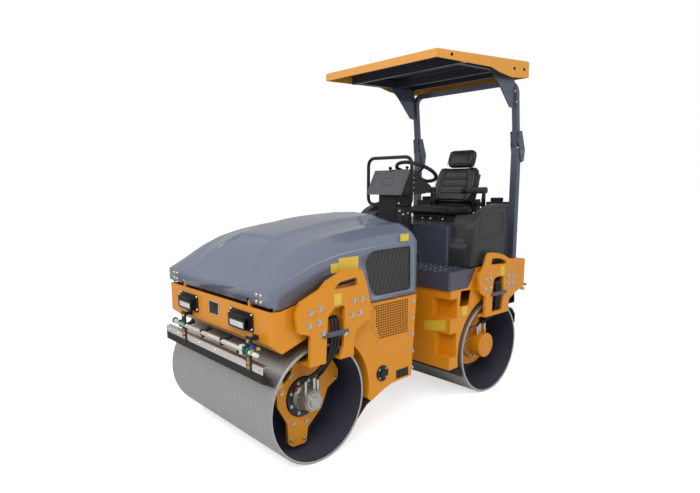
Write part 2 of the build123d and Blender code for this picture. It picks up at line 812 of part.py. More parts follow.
# Step platform: hollow folded box with a slanted back edge
platform_wall = 8
with BuildPart() as platform:
    with BuildSketch(side_plane(half_width)):
        Polygon(
            (15 - rear_wall_x, platform_bottom), (15 - rear_wall_x, deck_z), (1 - platform_slant_high, deck_z),
            (1 - platform_slant_low, platform_bottom), align=None,
        )
    extrude(amount=drum_width)
    front_edges = platform.edges().filter_by(Axis.Z).filter_by_position(Axis.X, 14 - rear_wall_x, 16 - rear_wall_x)
    fillet(front_edges, bend_radius)
    with BuildSketch(side_plane(half_width - platform_wall)):
        Polygon(
            (15 - rear_wall_x - platform_wall, platform_bottom - 2),
            (15 - rear_wall_x - platform_wall, deck_z - platform_wall),
            (20 - platform_slant_high, deck_z - platform_wall),
            (16 - platform_slant_low, platform_bottom - 2), align=None,
        )
    extrude(amount=drum_width - 2 * platform_wall, mode=Mode.SUBTRACT)
save(platform, "step_platform")

# Seat base housing on the deck
seat_base_middle = -(seat_base_front_x + seat_base_rear_x) / 2
seat_base_length = seat_base_rear_x - seat_base_front_x
with BuildPart() as seat_base:
    with BuildSketch(Plane.XY.offset(deck_z)):
        with Locations((seat_base_middle, 0)):
            RectangleRounded(seat_base_length, 2 * seat_base_half_width, bend_radius)
    extrude(amount=seat_base_top - deck_z)
    with BuildSketch(Plane.XY.offset(deck_z)):
        with Locations((seat_base_middle, 0)):
            Rectangle(seat_base_length - 2 * seat_base_wall, 2 * (seat_base_half_width - seat_base_wall))
    extrude(amount=seat_base_top - deck_z - seat_base_wall, mode=Mode.SUBTRACT)
save(seat_base, "seat_base")

# Moulded fenders beside the seat, with a rounded shoulder and a sunken field
fender_side = [
    (-600, deck_z), (-590, deck_z + 152), (-640, deck_z + 192), (-650, deck_z + 339), (-679, deck_z + 401),
    (-790, deck_z + 446), (-934, deck_z + 460), (-fender_rear_x, deck_z + 451), (-fender_rear_x, deck_z),
]
fender_field = [
    (-690, deck_z + 60), (-690, deck_z + 330), (-712, deck_z + 372), (-800, deck_z + 405), (-934, deck_z + 416),
    (-1040, deck_z + 410), (-1040, deck_z + 60),
]
with BuildPart() as fender:
    with BuildSketch(side_plane(half_width)) as fender_face:
        Polygon(*fender_side, align=None)
        fillet(fender_face.vertices().filter_by_position(Axis.Y, deck_z + 180, deck_z + 420), 24)
    extrude(amount=half_width - fender_inner_y)
    shoulder = fender.faces().sort_by(Axis.Y)[-1].edges().filter_by_position(Axis.Z, deck_z + 260, deck_z + 500)
    fillet(shoulder, bend_radius)
    with BuildSketch(side_plane(half_width)) as field:
        Polygon(*fender_field, align=None)
        fillet(field.vertices(), 20)
    extrude(amount=fender_recess, mode=Mode.SUBTRACT)
save(fender, "fender_left")
save_twin(fender, "fender_right")

# Water tank behind the seat, with a raised lobe on each side for its filler
cap_radius = 46
cap_height = 34
lobe_width = 164
lobe_length = 108
with BuildPart() as tank:
    with BuildSketch(Plane.XY.offset(deck_z)):
        with Locations((-tank_front_x - tank_length / 2, 0)):
            RectangleRounded(tank_length, 2 * tank_half_width, bend_radius)
    extrude(amount=seat_base_top - deck_z)
    with BuildSketch(Plane.XY.offset(seat_base_top)):
        with Locations((-tank_front_x - tank_length + lobe_length / 2, lobe_y)):
            RectangleRounded(lobe_length, lobe_width, bend_radius)
        with Locations((-tank_front_x - tank_length + lobe_length / 2, -lobe_y)):
            RectangleRounded(lobe_length, lobe_width, bend_radius)
    extrude(amount=lobe_height)
    with BuildSketch(Plane.XY.offset(seat_base_top + lobe_height)):
        with Locations((-tank_front_x - tank_length + lobe_length / 2, lobe_y - 10)):
            Circle(cap_radius)
        with Locations((-tank_front_x - tank_length + lobe_length / 2, 10 - lobe_y)):
            Circle(cap_radius)
    extrude(amount=cap_height)
save(tank, "water_tank")

# Seat
back_plane = Plane(
    origin=(-back_origin_x, 0, back_origin_z),
    x_dir=(0, 1, 0),
    z_dir=(-sin(radians(back_lean)), 0, cos(radians(back_lean))),
)
back_height = 325
headrest_height = 150
headrest_width = 250
with BuildPart() as suspension:
    with BuildSketch(Plane.XY.offset(seat_base_top)):
        with Locations((-1040, 0)):
            RectangleRounded(320, 380, 20)
    extrude(amount=seat_pan_z - seat_base_top)
    with BuildSketch(Plane.XY.offset(seat_pan_z)):
        with Locations((-1065, 0)):
            Rectangle(430, 330)
    extrude(amount=seat_pan_wall)
    with BuildSketch(back_plane.offset(-75)):
        with Locations((0, back_wall / 2 + back_depth / 2 + seat_gap)):
            Rectangle(300, back_wall)
    extrude(amount=back_height + 25)
save(suspension, "seat_suspension")
with BuildPart() as cushion:
    with BuildSketch(Plane.XY.offset(seat_pan_z + seat_pan_wall + seat_gap)):
        with Locations((-1020, 0)):
            RectangleRounded(330, 470, 45)
    extrude(amount=cushion_height)
save(cushion, "seat_cushion")
with BuildPart() as backrest:
    with BuildSketch(back_plane.offset(-10)):
        RectangleRounded(430, back_depth, 30)
    extrude(amount=back_height)
save(backrest, "seat_backrest")
with BuildPart() as headrest:
    with BuildSketch(back_plane.offset(back_height - 10 + seat_gap)):
        RectangleRounded(headrest_width, back_depth, 30)
    extrude(amount=headrest_height)
save(headrest, "seat_headrest")
armrest_z = seat_pan_z + 190
with BuildPart() as armrests:
    with BuildSketch(Plane.XY.offset(armrest_z)):
        with Locations((-1110, 262), (-1110, -262)):
            RectangleRounded(300, 60, 25)
    extrude(amount=40)
    for side in (1, -1):
        with BuildSketch(side_plane(side * 235)):
            with Locations((-1245, armrest_z + 20)):
                Circle(18)
        extrude(amount=side * (235 - 215 - seat_gap))
save(armrests, "seat_armrests")

# Console: column, dash body, its sloped cover, guard rail and steering wheel
with BuildPart() as column:
    with BuildSketch(Plane.XY.offset(deck_z)):
        with Locations((-console_x, 0)):
            RectangleRounded(console_width, console_width, bend_radius)
    extrude(amount=dash_low - deck_z)
save(column, "console_column")
wheel_plane = Plane(
    origin=(wheel_x, 0, wheel_z),
    x_dir=(0, 1, 0),
    z_dir=(-sin(radians(wheel_tilt)), 0, cos(radians(wheel_tilt))),
)
dash_front_x = 300
dash_slope = 100
with BuildPart() as dash:
    with BuildSketch(side_plane(dash_half_width)) as dash_side:
        Polygon(
            (-dash_front_x - dash_cover_run - seat_gap, dash_low),
            (-dash_front_x - dash_slope - dash_cover_run - seat_gap, dash_high),
            (-520, dash_high - 20), (-580, dash_high - 77), (-675, dash_high - 128), (-655, dash_low + 15),
            (-590, dash_low), align=None,
        )
        fillet(dash_side.vertices().filter_by_position(Axis.X, -700, -500), 14)
    extrude(amount=2 * dash_half_width)
    with BuildSketch(wheel_plane.offset(-column_reach - 20)):
        Circle(wheel_shaft_radius + running_clearance)
    extrude(amount=column_reach, mode=Mode.SUBTRACT)
save(dash, "dash_panel")
with BuildPart() as dash_cover:
    with BuildSketch(side_plane(dash_half_width + 10)):
        Polygon(
            (-dash_front_x, dash_low), (-dash_front_x - dash_slope, dash_high),
            (-dash_front_x - dash_slope - dash_cover_run, dash_high), (-dash_front_x - dash_cover_run, dash_low),
            align=None,
        )
    extrude(amount=2 * (dash_half_width + 10))
    cover_corners = dash_cover.edges().filter_by(GeomType.LINE).filter_by_position(Axis.X, -420, -390)
    fillet(cover_corners.filter_by(lambda edge: edge.length < 20), 4)
save(dash_cover, "dash_cover")
rail_low = dash_low - 80
rail_high = dash_high + 95
with BuildPart() as guard:
    tube(
        [
            (console_width / 2 + seat_gap, rail_low), (rail_half_width, rail_low), (rail_half_width, rail_high),
            (-rail_half_width, rail_high), (-rail_half_width, rail_low), (-console_width / 2 - seat_gap, rail_low),
        ],
        rail_radius,
        50,
        Plane.YZ.offset(-rail_x),
    )
save(guard, "guard_rail")
with BuildPart() as wheel:
    with BuildSketch(Plane(origin=wheel_plane.origin, x_dir=(0, 1, 0), z_dir=wheel_plane.y_dir)):
        with Locations((wheel_radius, 0)):
            RegularPolygon(wheel_rim_radius, 8, rotation=22.5)
    revolve(axis=Axis(wheel_plane.origin, wheel_plane.z_dir))
    with BuildSketch(wheel_plane.offset(-24)):
        Circle(36)
        for angle in (90, 210, 330):
            with Locations(Location((0, 0, 0), angle)):
                with Locations((wheel_radius / 2, 0)):
                    Rectangle(wheel_radius, 24)
    extrude(amount=12)
    with BuildSketch(wheel_plane.offset(-column_reach)):
        Circle(wheel_shaft_radius)
    extrude(amount=column_reach - 20)
save(wheel, "steering_wheel")

# Roll-over posts with the fold lugs, and the folding hoop that carries the canopy
post_rear_x = -post_x - post_depth / 2
with BuildPart() as posts:
    with BuildSketch(Plane.XY.offset(deck_z)):
        with Locations((-post_x, post_y), (-post_x, -post_y)):
            RectangleRounded(post_depth, post_width, 6)
    extrude(amount=post_top - deck_z)
    for y in (post_y, -post_y):
        with BuildSketch(side_plane(y + post_width / 2)):
            with Locations((-fold_x, fold_z)):
                Circle(fold_lug_radius)
            with Locations(((post_rear_x - fold_x) / 2 + 10, fold_z)):
                Rectangle(fold_x + post_rear_x + 20, 2 * fold_lug_radius)
        extrude(amount=post_width)
        with BuildSketch(side_plane(y + post_width / 2)):
            with Locations((-fold_x, fold_z)):
                Circle(fold_pin_radius + running_clearance)
        extrude(amount=post_width, mode=Mode.SUBTRACT)
save(posts, "rops_posts")

hoop_plane = Plane(
    origin=(-post_x, 0, hoop_foot),
    x_dir=(0, 1, 0),
    z_dir=(cos(radians(hoop_lean)), 0, -sin(radians(hoop_lean))),
)
with BuildPart() as hoop:
    with BuildLine(hoop_plane) as hoop_line:
        FilletPolyline(
            (post_y, 0), (post_y, hoop_length), (-post_y, hoop_length), (-post_y, 0), radius=hoop_corner
        )
    hoop_path = hoop_line.wires()[0]
    with BuildSketch(Plane(origin=hoop_path @ 0, x_dir=(0, 1, 0), z_dir=hoop_path % 0)):
        Rectangle(hoop_width, hoop_depth)
    sweep(path=hoop_path)
    for y in (post_y + post_width / 2 + ear_gap + ear_plate, post_y - post_width / 2 - ear_gap,
              -post_y + post_width / 2 + ear_gap + ear_plate, -post_y - post_width / 2 - ear_gap):
        with BuildSketch(side_plane(y)) as ear:
            Polygon(
                (-post_x + 17, fold_z + 98), (-post_x + 30, fold_z + 223), (-post_x - 12, fold_z + 223),
                (-fold_x - 33, fold_z + 74), (-fold_x - 20, fold_z - 12), (-fold_x + 16, fold_z - 18),
                align=None,
            )
            fillet(ear.vertices(), 8)
        extrude(amount=ear_plate)
    for y in (post_y, -post_y):
        with BuildSketch(side_plane(y + post_width / 2 + ear_gap + ear_plate)):
            with Locations((-fold_x, fold_z)):
                Circle(fold_pin_radius)
        extrude(amount=post_width + 2 * (ear_gap + ear_plate))
        with BuildSketch(side_plane(y + post_width / 2 + ear_gap)):
            with Locations((-post_x + 9, fold_z + 165)):
                Rectangle(26, 60)
        extrude(amount=post_width + 2 * ear_gap)
        with BuildSketch(side_plane(y + 4)) as gusset:
            Polygon(
                (-1250, 2180), (-1188, 2190), (-1021, 2360), (-914, canopy_bar_z), (-1240, canopy_bar_z),
                align=None,
            )
        extrude(amount=8)
save(hoop, "rops_hoop")

# Canopy: folded roof with deeper skirts at the rear, cross bars under it
canopy_side = [
    (-canopy_front_x, canopy_top_front - canopy_skirt), (-canopy_front_x, canopy_top_front),
    (-canopy_rear_x, canopy_top_rear), (-canopy_rear_x, canopy_top_rear - 124), (-1115, 2397), (-952, 2418),
    (-840, canopy_top_front - canopy_skirt),
]
canopy_inside = [
    (-canopy_front_x - canopy_wall, 2300), (-canopy_front_x - canopy_wall, canopy_top_front - canopy_wall),
    (-canopy_rear_x + canopy_wall, canopy_top_rear - canopy_wall), (-canopy_rear_x + canopy_wall, 2300),
]
canopy_bar_height = canopy_top_front - canopy_bar_z
with BuildPart() as canopy:
    with BuildSketch(side_plane(canopy_half_width)) as roof_side:
        Polygon(*canopy_side, align=None)
        fillet(roof_side.vertices().filter_by_position(Axis.X, -1200, -800), 60)
    extrude(amount=2 * canopy_half_width)
    roof_edges = canopy.faces().sort_by(Axis.Z)[-1].edges()
    fillet(roof_edges, 12)
    with BuildSketch(side_plane(canopy_half_width - canopy_wall)):
        Polygon(*canopy_inside, align=None)
    extrude(amount=2 * (canopy_half_width - canopy_wall), mode=Mode.SUBTRACT)
    with BuildSketch(Plane.XY.offset(canopy_bar_z + seat_gap)):
        for bar_x in (-520, -1000, -1240):
            with Locations((bar_x, 0)):
                Rectangle(40, 2 * canopy_half_width - canopy_wall)
        with Locations((-880, post_y), (-880, -post_y)):
            Rectangle(760, 36)
    extrude(amount=canopy_bar_height)
    with BuildSketch(side_plane(canopy_half_width)):
        with Locations((-373, 2478), (-1152, 2462), (-1286, 2465)):
            Circle(7)
    extrude(amount=2 * canopy_half_width, mode=Mode.SUBTRACT)
save(canopy, "canopy")

# Headlamps: back plate, visored housing and a sunken lens in its lower half
with BuildPart() as lamps:
    for y in (lamp_y, -lamp_y):
        with BuildSketch(Plane.YZ.offset(nose_x)):
            with Locations((y, lamp_z)):
                RectangleRounded(240, 110, 12)
        extrude(amount=6)
        with BuildSketch(Plane.YZ.offset(nose_x)):
            with Locations((y, lamp_z - 4)):
                RectangleRounded(172, 78, 12)
        extrude(amount=40)
        with BuildSketch(Plane.XY.offset(lamp_z + 27)):
            with Locations((nose_x + 24, y)):
                RectangleRounded(46, 164, 8)
        extrude(amount=8)
        with BuildSketch(Plane.YZ.offset(nose_x + 34)):
            with Locations((y, lamp_z - 18)):
                RectangleRounded(146, 38, 8)
        extrude(amount=6, mode=Mode.SUBTRACT)
save(lamps, "headlamps")


# Spray bars: an arm down from the frame each side, the tube and its nozzle blocks
def make_spray(sense, label):
    wall_x = sense * (nose_x if sense > 0 else tail_x)
    tube_x = wall_x + sense * (spray_x - nose_x)
    with BuildPart() as spray:
        with BuildSketch(Plane.XY.offset(spray_z - 120)):
            with Locations(*[(wall_x + sense * 51, y) for y in spray_arm_ys]):
                Rectangle(10, 50)
        extrude(amount=200)
        with BuildSketch(Plane.XY.offset(spray_z + 60)):
            with Locations(*[(wall_x + sense * 26, y) for y in spray_arm_ys]):
                Rectangle(52, 50)
        extrude(amount=8)
        with BuildSketch(Plane.XY.offset(spray_z + 60)):
            with Locations(*[(wall_x + sense * 4, y) for y in spray_arm_ys]):
                Rectangle(8, 50)
        extrude(amount=22)
        with BuildSketch(side_plane(490)):
            with Locations((tube_x, spray_z)):
                Circle(14)
        extrude(amount=910)
        for y in spray_arm_ys:
            with BuildSketch(side_plane(y + 15)):
                with Locations((tube_x - sense * 4, spray_z)):
                    Rectangle(20, 44)
            extrude(amount=30)
        for y in (-250, -30, 190, 370):
            with BuildSketch(Plane.XY.offset(spray_z - 30)):
                with Locations((tube_x, y)):
                    Circle(8)
            extrude(amount=24)
    save(spray, label)


make_spray(1, "spray_bar")
make_spray(-1, "rear_spray_bar")


# Scrapers of one drum: upper holder bar with its blade behind the spray bar, and
# a lower holder under the belly of the frame with a blade on the drum's inner side
def make_scrapers(sense, label):
    wall_x = nose_x if sense > 0 else tail_x
    bar = wall_x + 37
    with BuildPart() as scrapers:
        with BuildSketch(side_plane(half_width - 10)):
            Polygon(
                *[(sense * px, pz) for px, pz in (
                    (bar + 9, 600), (bar + 9, 640), (bar, 640), (bar, 606), (axle_x + 336, 590), (axle_x + 340, 583),
                )],
                align=None,
            )
        extrude(amount=drum_width - 20)
        with BuildSketch(side_plane(half_width - 20)):
            Polygon(
                *[(sense * px, pz) for px, pz in (
                    (bar, 600), (axle_x + 315, 545), (axle_x + 320, 539), (bar + 5, 594),
                )],
                align=None,
            )
        extrude(amount=drum_width - 40)
        if sense > 0:
            holder = [(358, 298.9), (468, 253.3), (465, 246), (355, 291)]
            blade = [(462, 250), (546, 176), (551, 182), (468, 256)]
        else:
            holder = [(362, rear_frame_bottom - 0.3), (462, rear_frame_bottom - 0.3), (462, 271), (362, 271)]
            blade = [(456, 274), (541, 186), (547, 191), (462, 279)]
        with BuildSketch(side_plane(half_width - 10)):
            Polygon(*[(sense * px, pz) for px, pz in holder], align=None)
            Polygon(*[(sense * px, pz) for px, pz in blade], align=None)
        extrude(amount=drum_width - 20)
    save(scrapers, label)


make_scrapers(1, "front_scraper")
make_scrapers(-1, "rear_scrapers")

# Tow lug on the tail plate
tow_eye_radius = 15
tow_lug_radius = 32
with BuildPart() as tow:
    with BuildSketch(Plane.YZ.offset(-tail_x)):
        with Locations((0, deck_z - 118)):
            RectangleRounded(120, 120, 12)
    extrude(amount=-14)
    with BuildSketch(Plane.XY.offset(deck_z - 128)):
        with Locations((-tail_x - 40, 0)):
            Circle(tow_lug_radius)
        with Locations((-tail_x - 25, 0)):
            Rectangle(30, 2 * tow_lug_radius)
        with Locations((-tail_x - 40, 0)):
            Circle(tow_eye_radius, mode=Mode.SUBTRACT)
    extrude(amount=20)
save(tow, "tow_lug")
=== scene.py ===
import bpy
import bmesh
from math import cos, exp, pi, radians, sin
from mathutils import Matrix, Vector


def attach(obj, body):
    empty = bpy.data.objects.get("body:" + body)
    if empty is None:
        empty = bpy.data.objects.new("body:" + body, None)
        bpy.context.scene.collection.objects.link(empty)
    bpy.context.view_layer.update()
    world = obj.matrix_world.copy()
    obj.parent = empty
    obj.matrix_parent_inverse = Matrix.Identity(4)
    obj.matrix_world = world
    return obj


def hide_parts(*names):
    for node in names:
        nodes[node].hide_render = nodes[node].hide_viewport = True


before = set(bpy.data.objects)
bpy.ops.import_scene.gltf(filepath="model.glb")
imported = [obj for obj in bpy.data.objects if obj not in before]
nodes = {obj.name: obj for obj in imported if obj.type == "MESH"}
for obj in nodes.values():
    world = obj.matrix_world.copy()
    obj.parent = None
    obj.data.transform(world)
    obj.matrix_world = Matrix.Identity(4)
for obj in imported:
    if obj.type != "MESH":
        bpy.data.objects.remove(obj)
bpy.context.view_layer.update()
scene = bpy.context.scene
mm = 0.001
print("stage: frame loaded")

# the camera as it was fitted to the photograph, whose frame is 700 x 493 pixels
photo = {"width": 700, "height": 493, "focalPixels": 551.6, "axisX": 285.8, "axisY": 262.5, "sensor": 36.0}
cameraPlace = {"spot": (2.8793, 2.9285, 1.6773), "yaw": 232.66, "pitch": -8.74, "roll": 1.01}


def makeCamera():
    yaw, pitch, roll = (radians(cameraPlace[k]) for k in ("yaw", "pitch", "roll"))
    forward = Vector((cos(yaw) * cos(pitch), sin(yaw) * cos(pitch), sin(pitch)))
    level = Vector((sin(yaw), -cos(yaw), 0.0))
    drop = forward.cross(level)
    right = level * cos(roll) + drop * sin(roll)
    down = drop * cos(roll) - level * sin(roll)
    data = bpy.data.cameras.new("photoCamera")
    data.sensor_width = photo["sensor"]
    data.lens = photo["focalPixels"] * photo["sensor"] / photo["width"]
    data.shift_x = (photo["width"] / 2 - photo["axisX"]) / photo["width"]
    data.shift_y = (photo["axisY"] - photo["height"] / 2) / photo["width"]
    data.clip_end = 100
    camera = bpy.data.objects.new("photoCamera", data)
    place = Matrix((right, -down, -forward)).transposed().to_4x4()
    place.translation = cameraPlace["spot"]
    camera.matrix_world = place
    scene.collection.objects.link(camera)
    scene.camera = camera


makeCamera()


# node helpers for the materials
def fill(tree, node, inputs):
    # each socket takes another node's output, or a plain value
    for socket, value in dict(inputs).items():
        if isinstance(value, bpy.types.NodeSocket):
            tree.links.new(value, node.inputs[socket])
        else:
            node.inputs[socket].default_value = value


def addNode(tree, kind, inputs=(), **settings):
    node = tree.nodes.new("ShaderNode" + kind)
    for name, value in settings.items():
        setattr(node, name, value)
    fill(tree, node, inputs)
    return node


def calculate(tree, operation, *values, clamp=False):
    return addNode(tree, "Math", enumerate(values), operation=operation, use_clamp=clamp).outputs[0]


def vectorMath(tree, operation, *values, output="Vector"):
    return addNode(tree, "VectorMath", enumerate(values), operation=operation).outputs[output]


def mixColor(tree, factor, first, second):
    return addNode(tree, "Mix", {"Factor": factor, "A": first, "B": second}, data_type="RGBA").outputs["Result"]


def mapRange(tree, value, low, high, fromLow=0.0, fromHigh=1.0):
    return addNode(tree, "MapRange", {"Value": value, "To Min": low, "To Max": high, "From Min": fromLow,
                                      "From Max": fromHigh}).outputs["Result"]


def bumped(tree, height, strength, distance):
    return addNode(tree, "Bump", {"Height": height, "Strength": strength, "Distance": distance}).outputs["Normal"]


def addNoise(tree, vector, scale, detail, roughness=0.5):
    return addNode(tree, "TexNoise", {"Vector": vector, "Scale": scale, "Detail": detail,
                                      "Roughness": roughness}).outputs["Fac"]


def surface(tree, label="Object"):
    return addNode(tree, "TexCoord").outputs[label]


def split(tree, vector):
    return addNode(tree, "SeparateXYZ", {0: vector}).outputs


def newGroup(name, inputs, outputs):
    # an input's kind follows from the length of its value: a number, a vector or a colour
    group = bpy.data.node_groups.new(name, "ShaderNodeTree")
    for label, value in inputs.items():
        kind = {1: "Float", 3: "Vector", 4: "Color"}[len(value) if isinstance(value, tuple) else 1]
        group.interface.new_socket(name=label, in_out="INPUT", socket_type="NodeSocket" + kind).default_value = value
    for label, kind in outputs.items():
        group.interface.new_socket(name=label, in_out="OUTPUT", socket_type="NodeSocket" + kind)
    return group, group.nodes.new("NodeGroupInput").outputs, group.nodes.new("NodeGroupOutput")


def makePaintTone():
    # slow tone changes over a painted or moulded surface, with faint dust on what faces up
    group, given, out = newGroup("paintTone", {"Base": (0.5, 0.5, 0.5, 1), "Scale": 3.0, "Amount": 0.12, "Dust": 0.04},
                                 {"Color": "Color", "Mask": "Float"})
    noise = addNoise(group, surface(group), given["Scale"], 6.0)
    value = calculate(group, "MULTIPLY_ADD", calculate(group, "SUBTRACT", noise, 0.5), given["Amount"], 1.0)
    toned = addNode(group, "HueSaturation", {"Value": value, "Color": given["Base"]}).outputs["Color"]
    upward = split(group, surface(group, "Normal"))["Z"]
    facing = calculate(group, "MULTIPLY", upward, given["Dust"], clamp=True)
    fill(group, out, {"Color": mixColor(group, facing, toned, (0.45, 0.44, 0.42, 1)), "Mask": noise})
    return group


def makeFineGrain():
    # small bumps: paint texture, moulded grain or cast skin, by their scale and height
    group, given, out = newGroup("fineGrain", {"Scale": 400.0, "Height": 0.1, "Distance": 0.001}, {"Normal": "Vector"})
    noise = addNoise(group, surface(group), given["Scale"], 3.0)
    fill(group, out, {"Normal": bumped(group, noise, given["Height"], given["Distance"])})
    return group


def makeStreaks():
    # ground or brushed lines, long along the axes where Stretch is small
    group, given, out = newGroup("brushedStreaks", {"Stretch": (1.0, 1.0, 1.0), "Scale": 30.0}, {"Streak": "Float"})
    stretched = vectorMath(group, "MULTIPLY", surface(group), given["Stretch"])
    fill(group, out, {"Streak": addNoise(group, stretched, given["Scale"], 8.0, 0.62)})
    return group


paintTone = makePaintTone()
fineGrain = makeFineGrain()
brushedStreaks = makeStreaks()


def useGroup(tree, group, **values):
    return addNode(tree, "Group", values, node_tree=group).outputs


def toned(tree, color, scale, amount, dust):
    return useGroup(tree, paintTone, Base=(*color, 1), Scale=scale, Amount=amount, Dust=dust)


def grained(tree, scale, height):
    return useGroup(tree, fineGrain, Scale=scale, Height=height)["Normal"]


def startMaterial(name):
    material = bpy.data.materials.new(name)
    material.use_nodes = True
    return material, material.node_tree, material.node_tree.nodes["Principled BSDF"]


def makeFinish(name, color, rough, metal=0.0, coat=0.0, tone=0.12, toneScale=3.0, dust=0.03,
               grainScale=500.0, grainHeight=0.08, roughSpread=0.1, specular=0.5):
    # the common finish: toned colour, grain and a little change in gloss
    material, tree, shader = startMaterial(name)
    paint = toned(tree, color, toneScale, tone, dust)
    fill(tree, shader, {
        "Base Color": paint["Color"], "Normal": grained(tree, grainScale, grainHeight), "Metallic": metal,
        "Roughness": mapRange(tree, paint["Mask"], rough - roughSpread, rough + roughSpread),
        "Specular IOR Level": specular, "Coat Weight": coat, "Coat Roughness": 0.12,
    })
    return material


finishes = {
    "orangePaint": dict(color=(0.70, 0.262, 0.006), rough=0.36, coat=0.12, specular=0.4, tone=0.10, toneScale=2.2,
                        dust=0.02, grainScale=260.0, grainHeight=0.05),
    "greyPaint": dict(color=(0.072, 0.084, 0.124), rough=0.30, coat=0.35, tone=0.12, toneScale=1.8, dust=0.03,
                      grainScale=300.0, grainHeight=0.035),
    # hood grey: the grey paint made about twice as light and bluer, a painted highlight and a painted blue reflection
    # over the paint's own colour
    "hoodPaintPaintedHighlight": dict(color=(0.148, 0.174, 0.242), rough=0.22, coat=0.5, tone=0.10, toneScale=1.8, dust=0.02,
                      grainScale=300.0, grainHeight=0.03),
    "deckPaint": dict(color=(0.052, 0.060, 0.088), rough=0.33, coat=0.3, tone=0.15, toneScale=2.2, dust=0.02,
                      grainScale=300.0, grainHeight=0.035),
    "charcoal": dict(color=(0.026, 0.0265, 0.029), rough=0.44, tone=0.12, dust=0.02, grainScale=900.0, grainHeight=0.15,
                     roughSpread=0.05),
    "blackPaint": dict(color=(0.009, 0.009, 0.010), rough=0.38, tone=0.2, dust=0.008, grainHeight=0.06, specular=0.35),
    "blackPlastic": dict(color=(0.011, 0.011, 0.0125), rough=0.5, tone=0.15, dust=0.01, specular=0.35, grainScale=900.0,
                         grainHeight=0.22, roughSpread=0.05),
    "greyPlastic": dict(color=(0.082, 0.082, 0.098), rough=0.48, tone=0.1, dust=0.02, grainScale=800.0,
                        grainHeight=0.16, roughSpread=0.05),
    "boltSteel": dict(color=(0.60, 0.59, 0.56), rough=0.28, metal=1.0, tone=0.3, toneScale=40.0, dust=0.0),
    "castMetal": dict(color=(0.46, 0.46, 0.45), rough=0.42, metal=0.85, tone=0.35, toneScale=16.0, dust=0.0,
                      grainScale=350.0, grainHeight=0.3),
    "engineIron": dict(color=(0.04, 0.042, 0.045), rough=0.6, tone=0.4, toneScale=9.0),
    "flapRubber": dict(color=(0.020, 0.019, 0.018), rough=0.7, tone=0.3, toneScale=12.0, grainScale=300.0,
                       grainHeight=0.25, specular=0.3),
    "hoseRubber": dict(color=(0.009, 0.009, 0.010), rough=0.45, tone=0.2, dust=0.0, specular=0.4, grainScale=700.0,
                       grainHeight=0.2),
    "sprayTube": dict(color=(0.62, 0.58, 0.52), rough=0.28, metal=0.4, tone=0.03, toneScale=10.0),
    "aluminium": dict(color=(0.66, 0.65, 0.62), rough=0.3, metal=0.9, tone=0.2, toneScale=8.0),
    "yellowTag": dict(color=(0.72, 0.50, 0.045), rough=0.4, tone=0.06, dust=0.0, grainHeight=0.02),
    "greenFitting": dict(color=(0.01, 0.16, 0.09), rough=0.35, tone=0.08, dust=0.0),
    "blueFitting": dict(color=(0.01, 0.07, 0.42), rough=0.35, tone=0.08, dust=0.0),
    "whiteFitting": dict(color=(0.72, 0.72, 0.70), rough=0.35, tone=0.05, dust=0.0),
    "redCap": dict(color=(0.5, 0.02, 0.015), rough=0.35, tone=0.05, dust=0.0),
    "brassPin": dict(color=(0.62, 0.45, 0.20), rough=0.3, metal=1.0, tone=0.2, toneScale=20.0, dust=0.0),
    "canopyUnder": dict(color=(0.030, 0.034, 0.045), rough=0.45, tone=0.25, toneScale=2.5, dust=0.0),
}
materials = {name: makeFinish(name, **values) for name, values in finishes.items()}

drumFinish = {"ground": (0.375, 0.372, 0.365, 1), "worn": (0.435, 0.43, 0.42, 1), "inside": (0.030, 0.034, 0.058),
              "rim": (0.40, 0.395, 0.385, 1), "outerRadius": 0.352, "rimFace": 0.5975, "axleX": 0.87, "axleZ": 0.36}


def makeDrumSteel(name, middleX):
    # ground shell with rolling marks round it, bright rim edge, dark paint inside
    material, tree, shader = startMaterial(name)
    spot = vectorMath(tree, "SUBTRACT", surface(tree), (middleX, 0.0, drumFinish["axleZ"]))
    radius = vectorMath(tree, "LENGTH", vectorMath(tree, "MULTIPLY", spot, (1.0, 0.0, 1.0)), output="Value")
    outside = calculate(tree, "GREATER_THAN", radius, drumFinish["outerRadius"])
    rim = calculate(tree, "GREATER_THAN", calculate(tree, "ABSOLUTE", split(tree, spot)["Y"]), drumFinish["rimFace"])
    streak = useGroup(tree, brushedStreaks, Stretch=(1.0, 9.0, 1.0), Scale=7.0)["Streak"]
    fine = useGroup(tree, brushedStreaks, Stretch=(4.0, 60.0, 4.0), Scale=12.0)["Streak"]
    both = calculate(tree, "MULTIPLY_ADD", fine, 0.5, calculate(tree, "MULTIPLY", streak, 0.5))
    shell = mixColor(tree, mapRange(tree, both, 0.0, 1.0, 0.38, 0.62), drumFinish["ground"], drumFinish["worn"])
    skin = mixColor(tree, outside, toned(tree, drumFinish["inside"], 4.0, 0.3, 0.05)["Color"], shell)
    fill(tree, shader, {
        "Base Color": mixColor(tree, rim, skin, drumFinish["rim"]), "Roughness": mapRange(tree, both, 0.42, 0.56),
        "Metallic": calculate(tree, "MULTIPLY", outside, 0.82), "Normal": bumped(tree, fine, 0.08, 0.001),
    })
    return material


vinylFinish = {"color": (0.0105, 0.0105, 0.012), "cellScale": 330.0, "rough": 0.36, "spread": 0.08}


def makeVinyl():
    # black seat vinyl: fine leather-like cells and a soft change of tone
    material, tree, shader = startMaterial("seatVinyl")
    paint = toned(tree, vinylFinish["color"], 7.0, 0.35, 0.01)
    cells = addNode(tree, "TexVoronoi", {"Scale": vinylFinish["cellScale"], "Vector": surface(tree)},
                    feature="DISTANCE_TO_EDGE")
    rough, spread = vinylFinish["rough"], vinylFinish["spread"]
    fill(tree, shader, {
        "Base Color": paint["Color"], "Normal": bumped(tree, cells.outputs["Distance"], 0.3, 0.0006),
        "Roughness": mapRange(tree, paint["Mask"], rough - spread, rough + spread), "Specular IOR Level": 0.4,
    })
    return material


canopyFinish = {"top": (0.72, 0.31, 0.03), "under": (0.026, 0.029, 0.040), "halfInside": 0.5375,
                "frontInside": -0.2215, "rearInside": -1.3415}


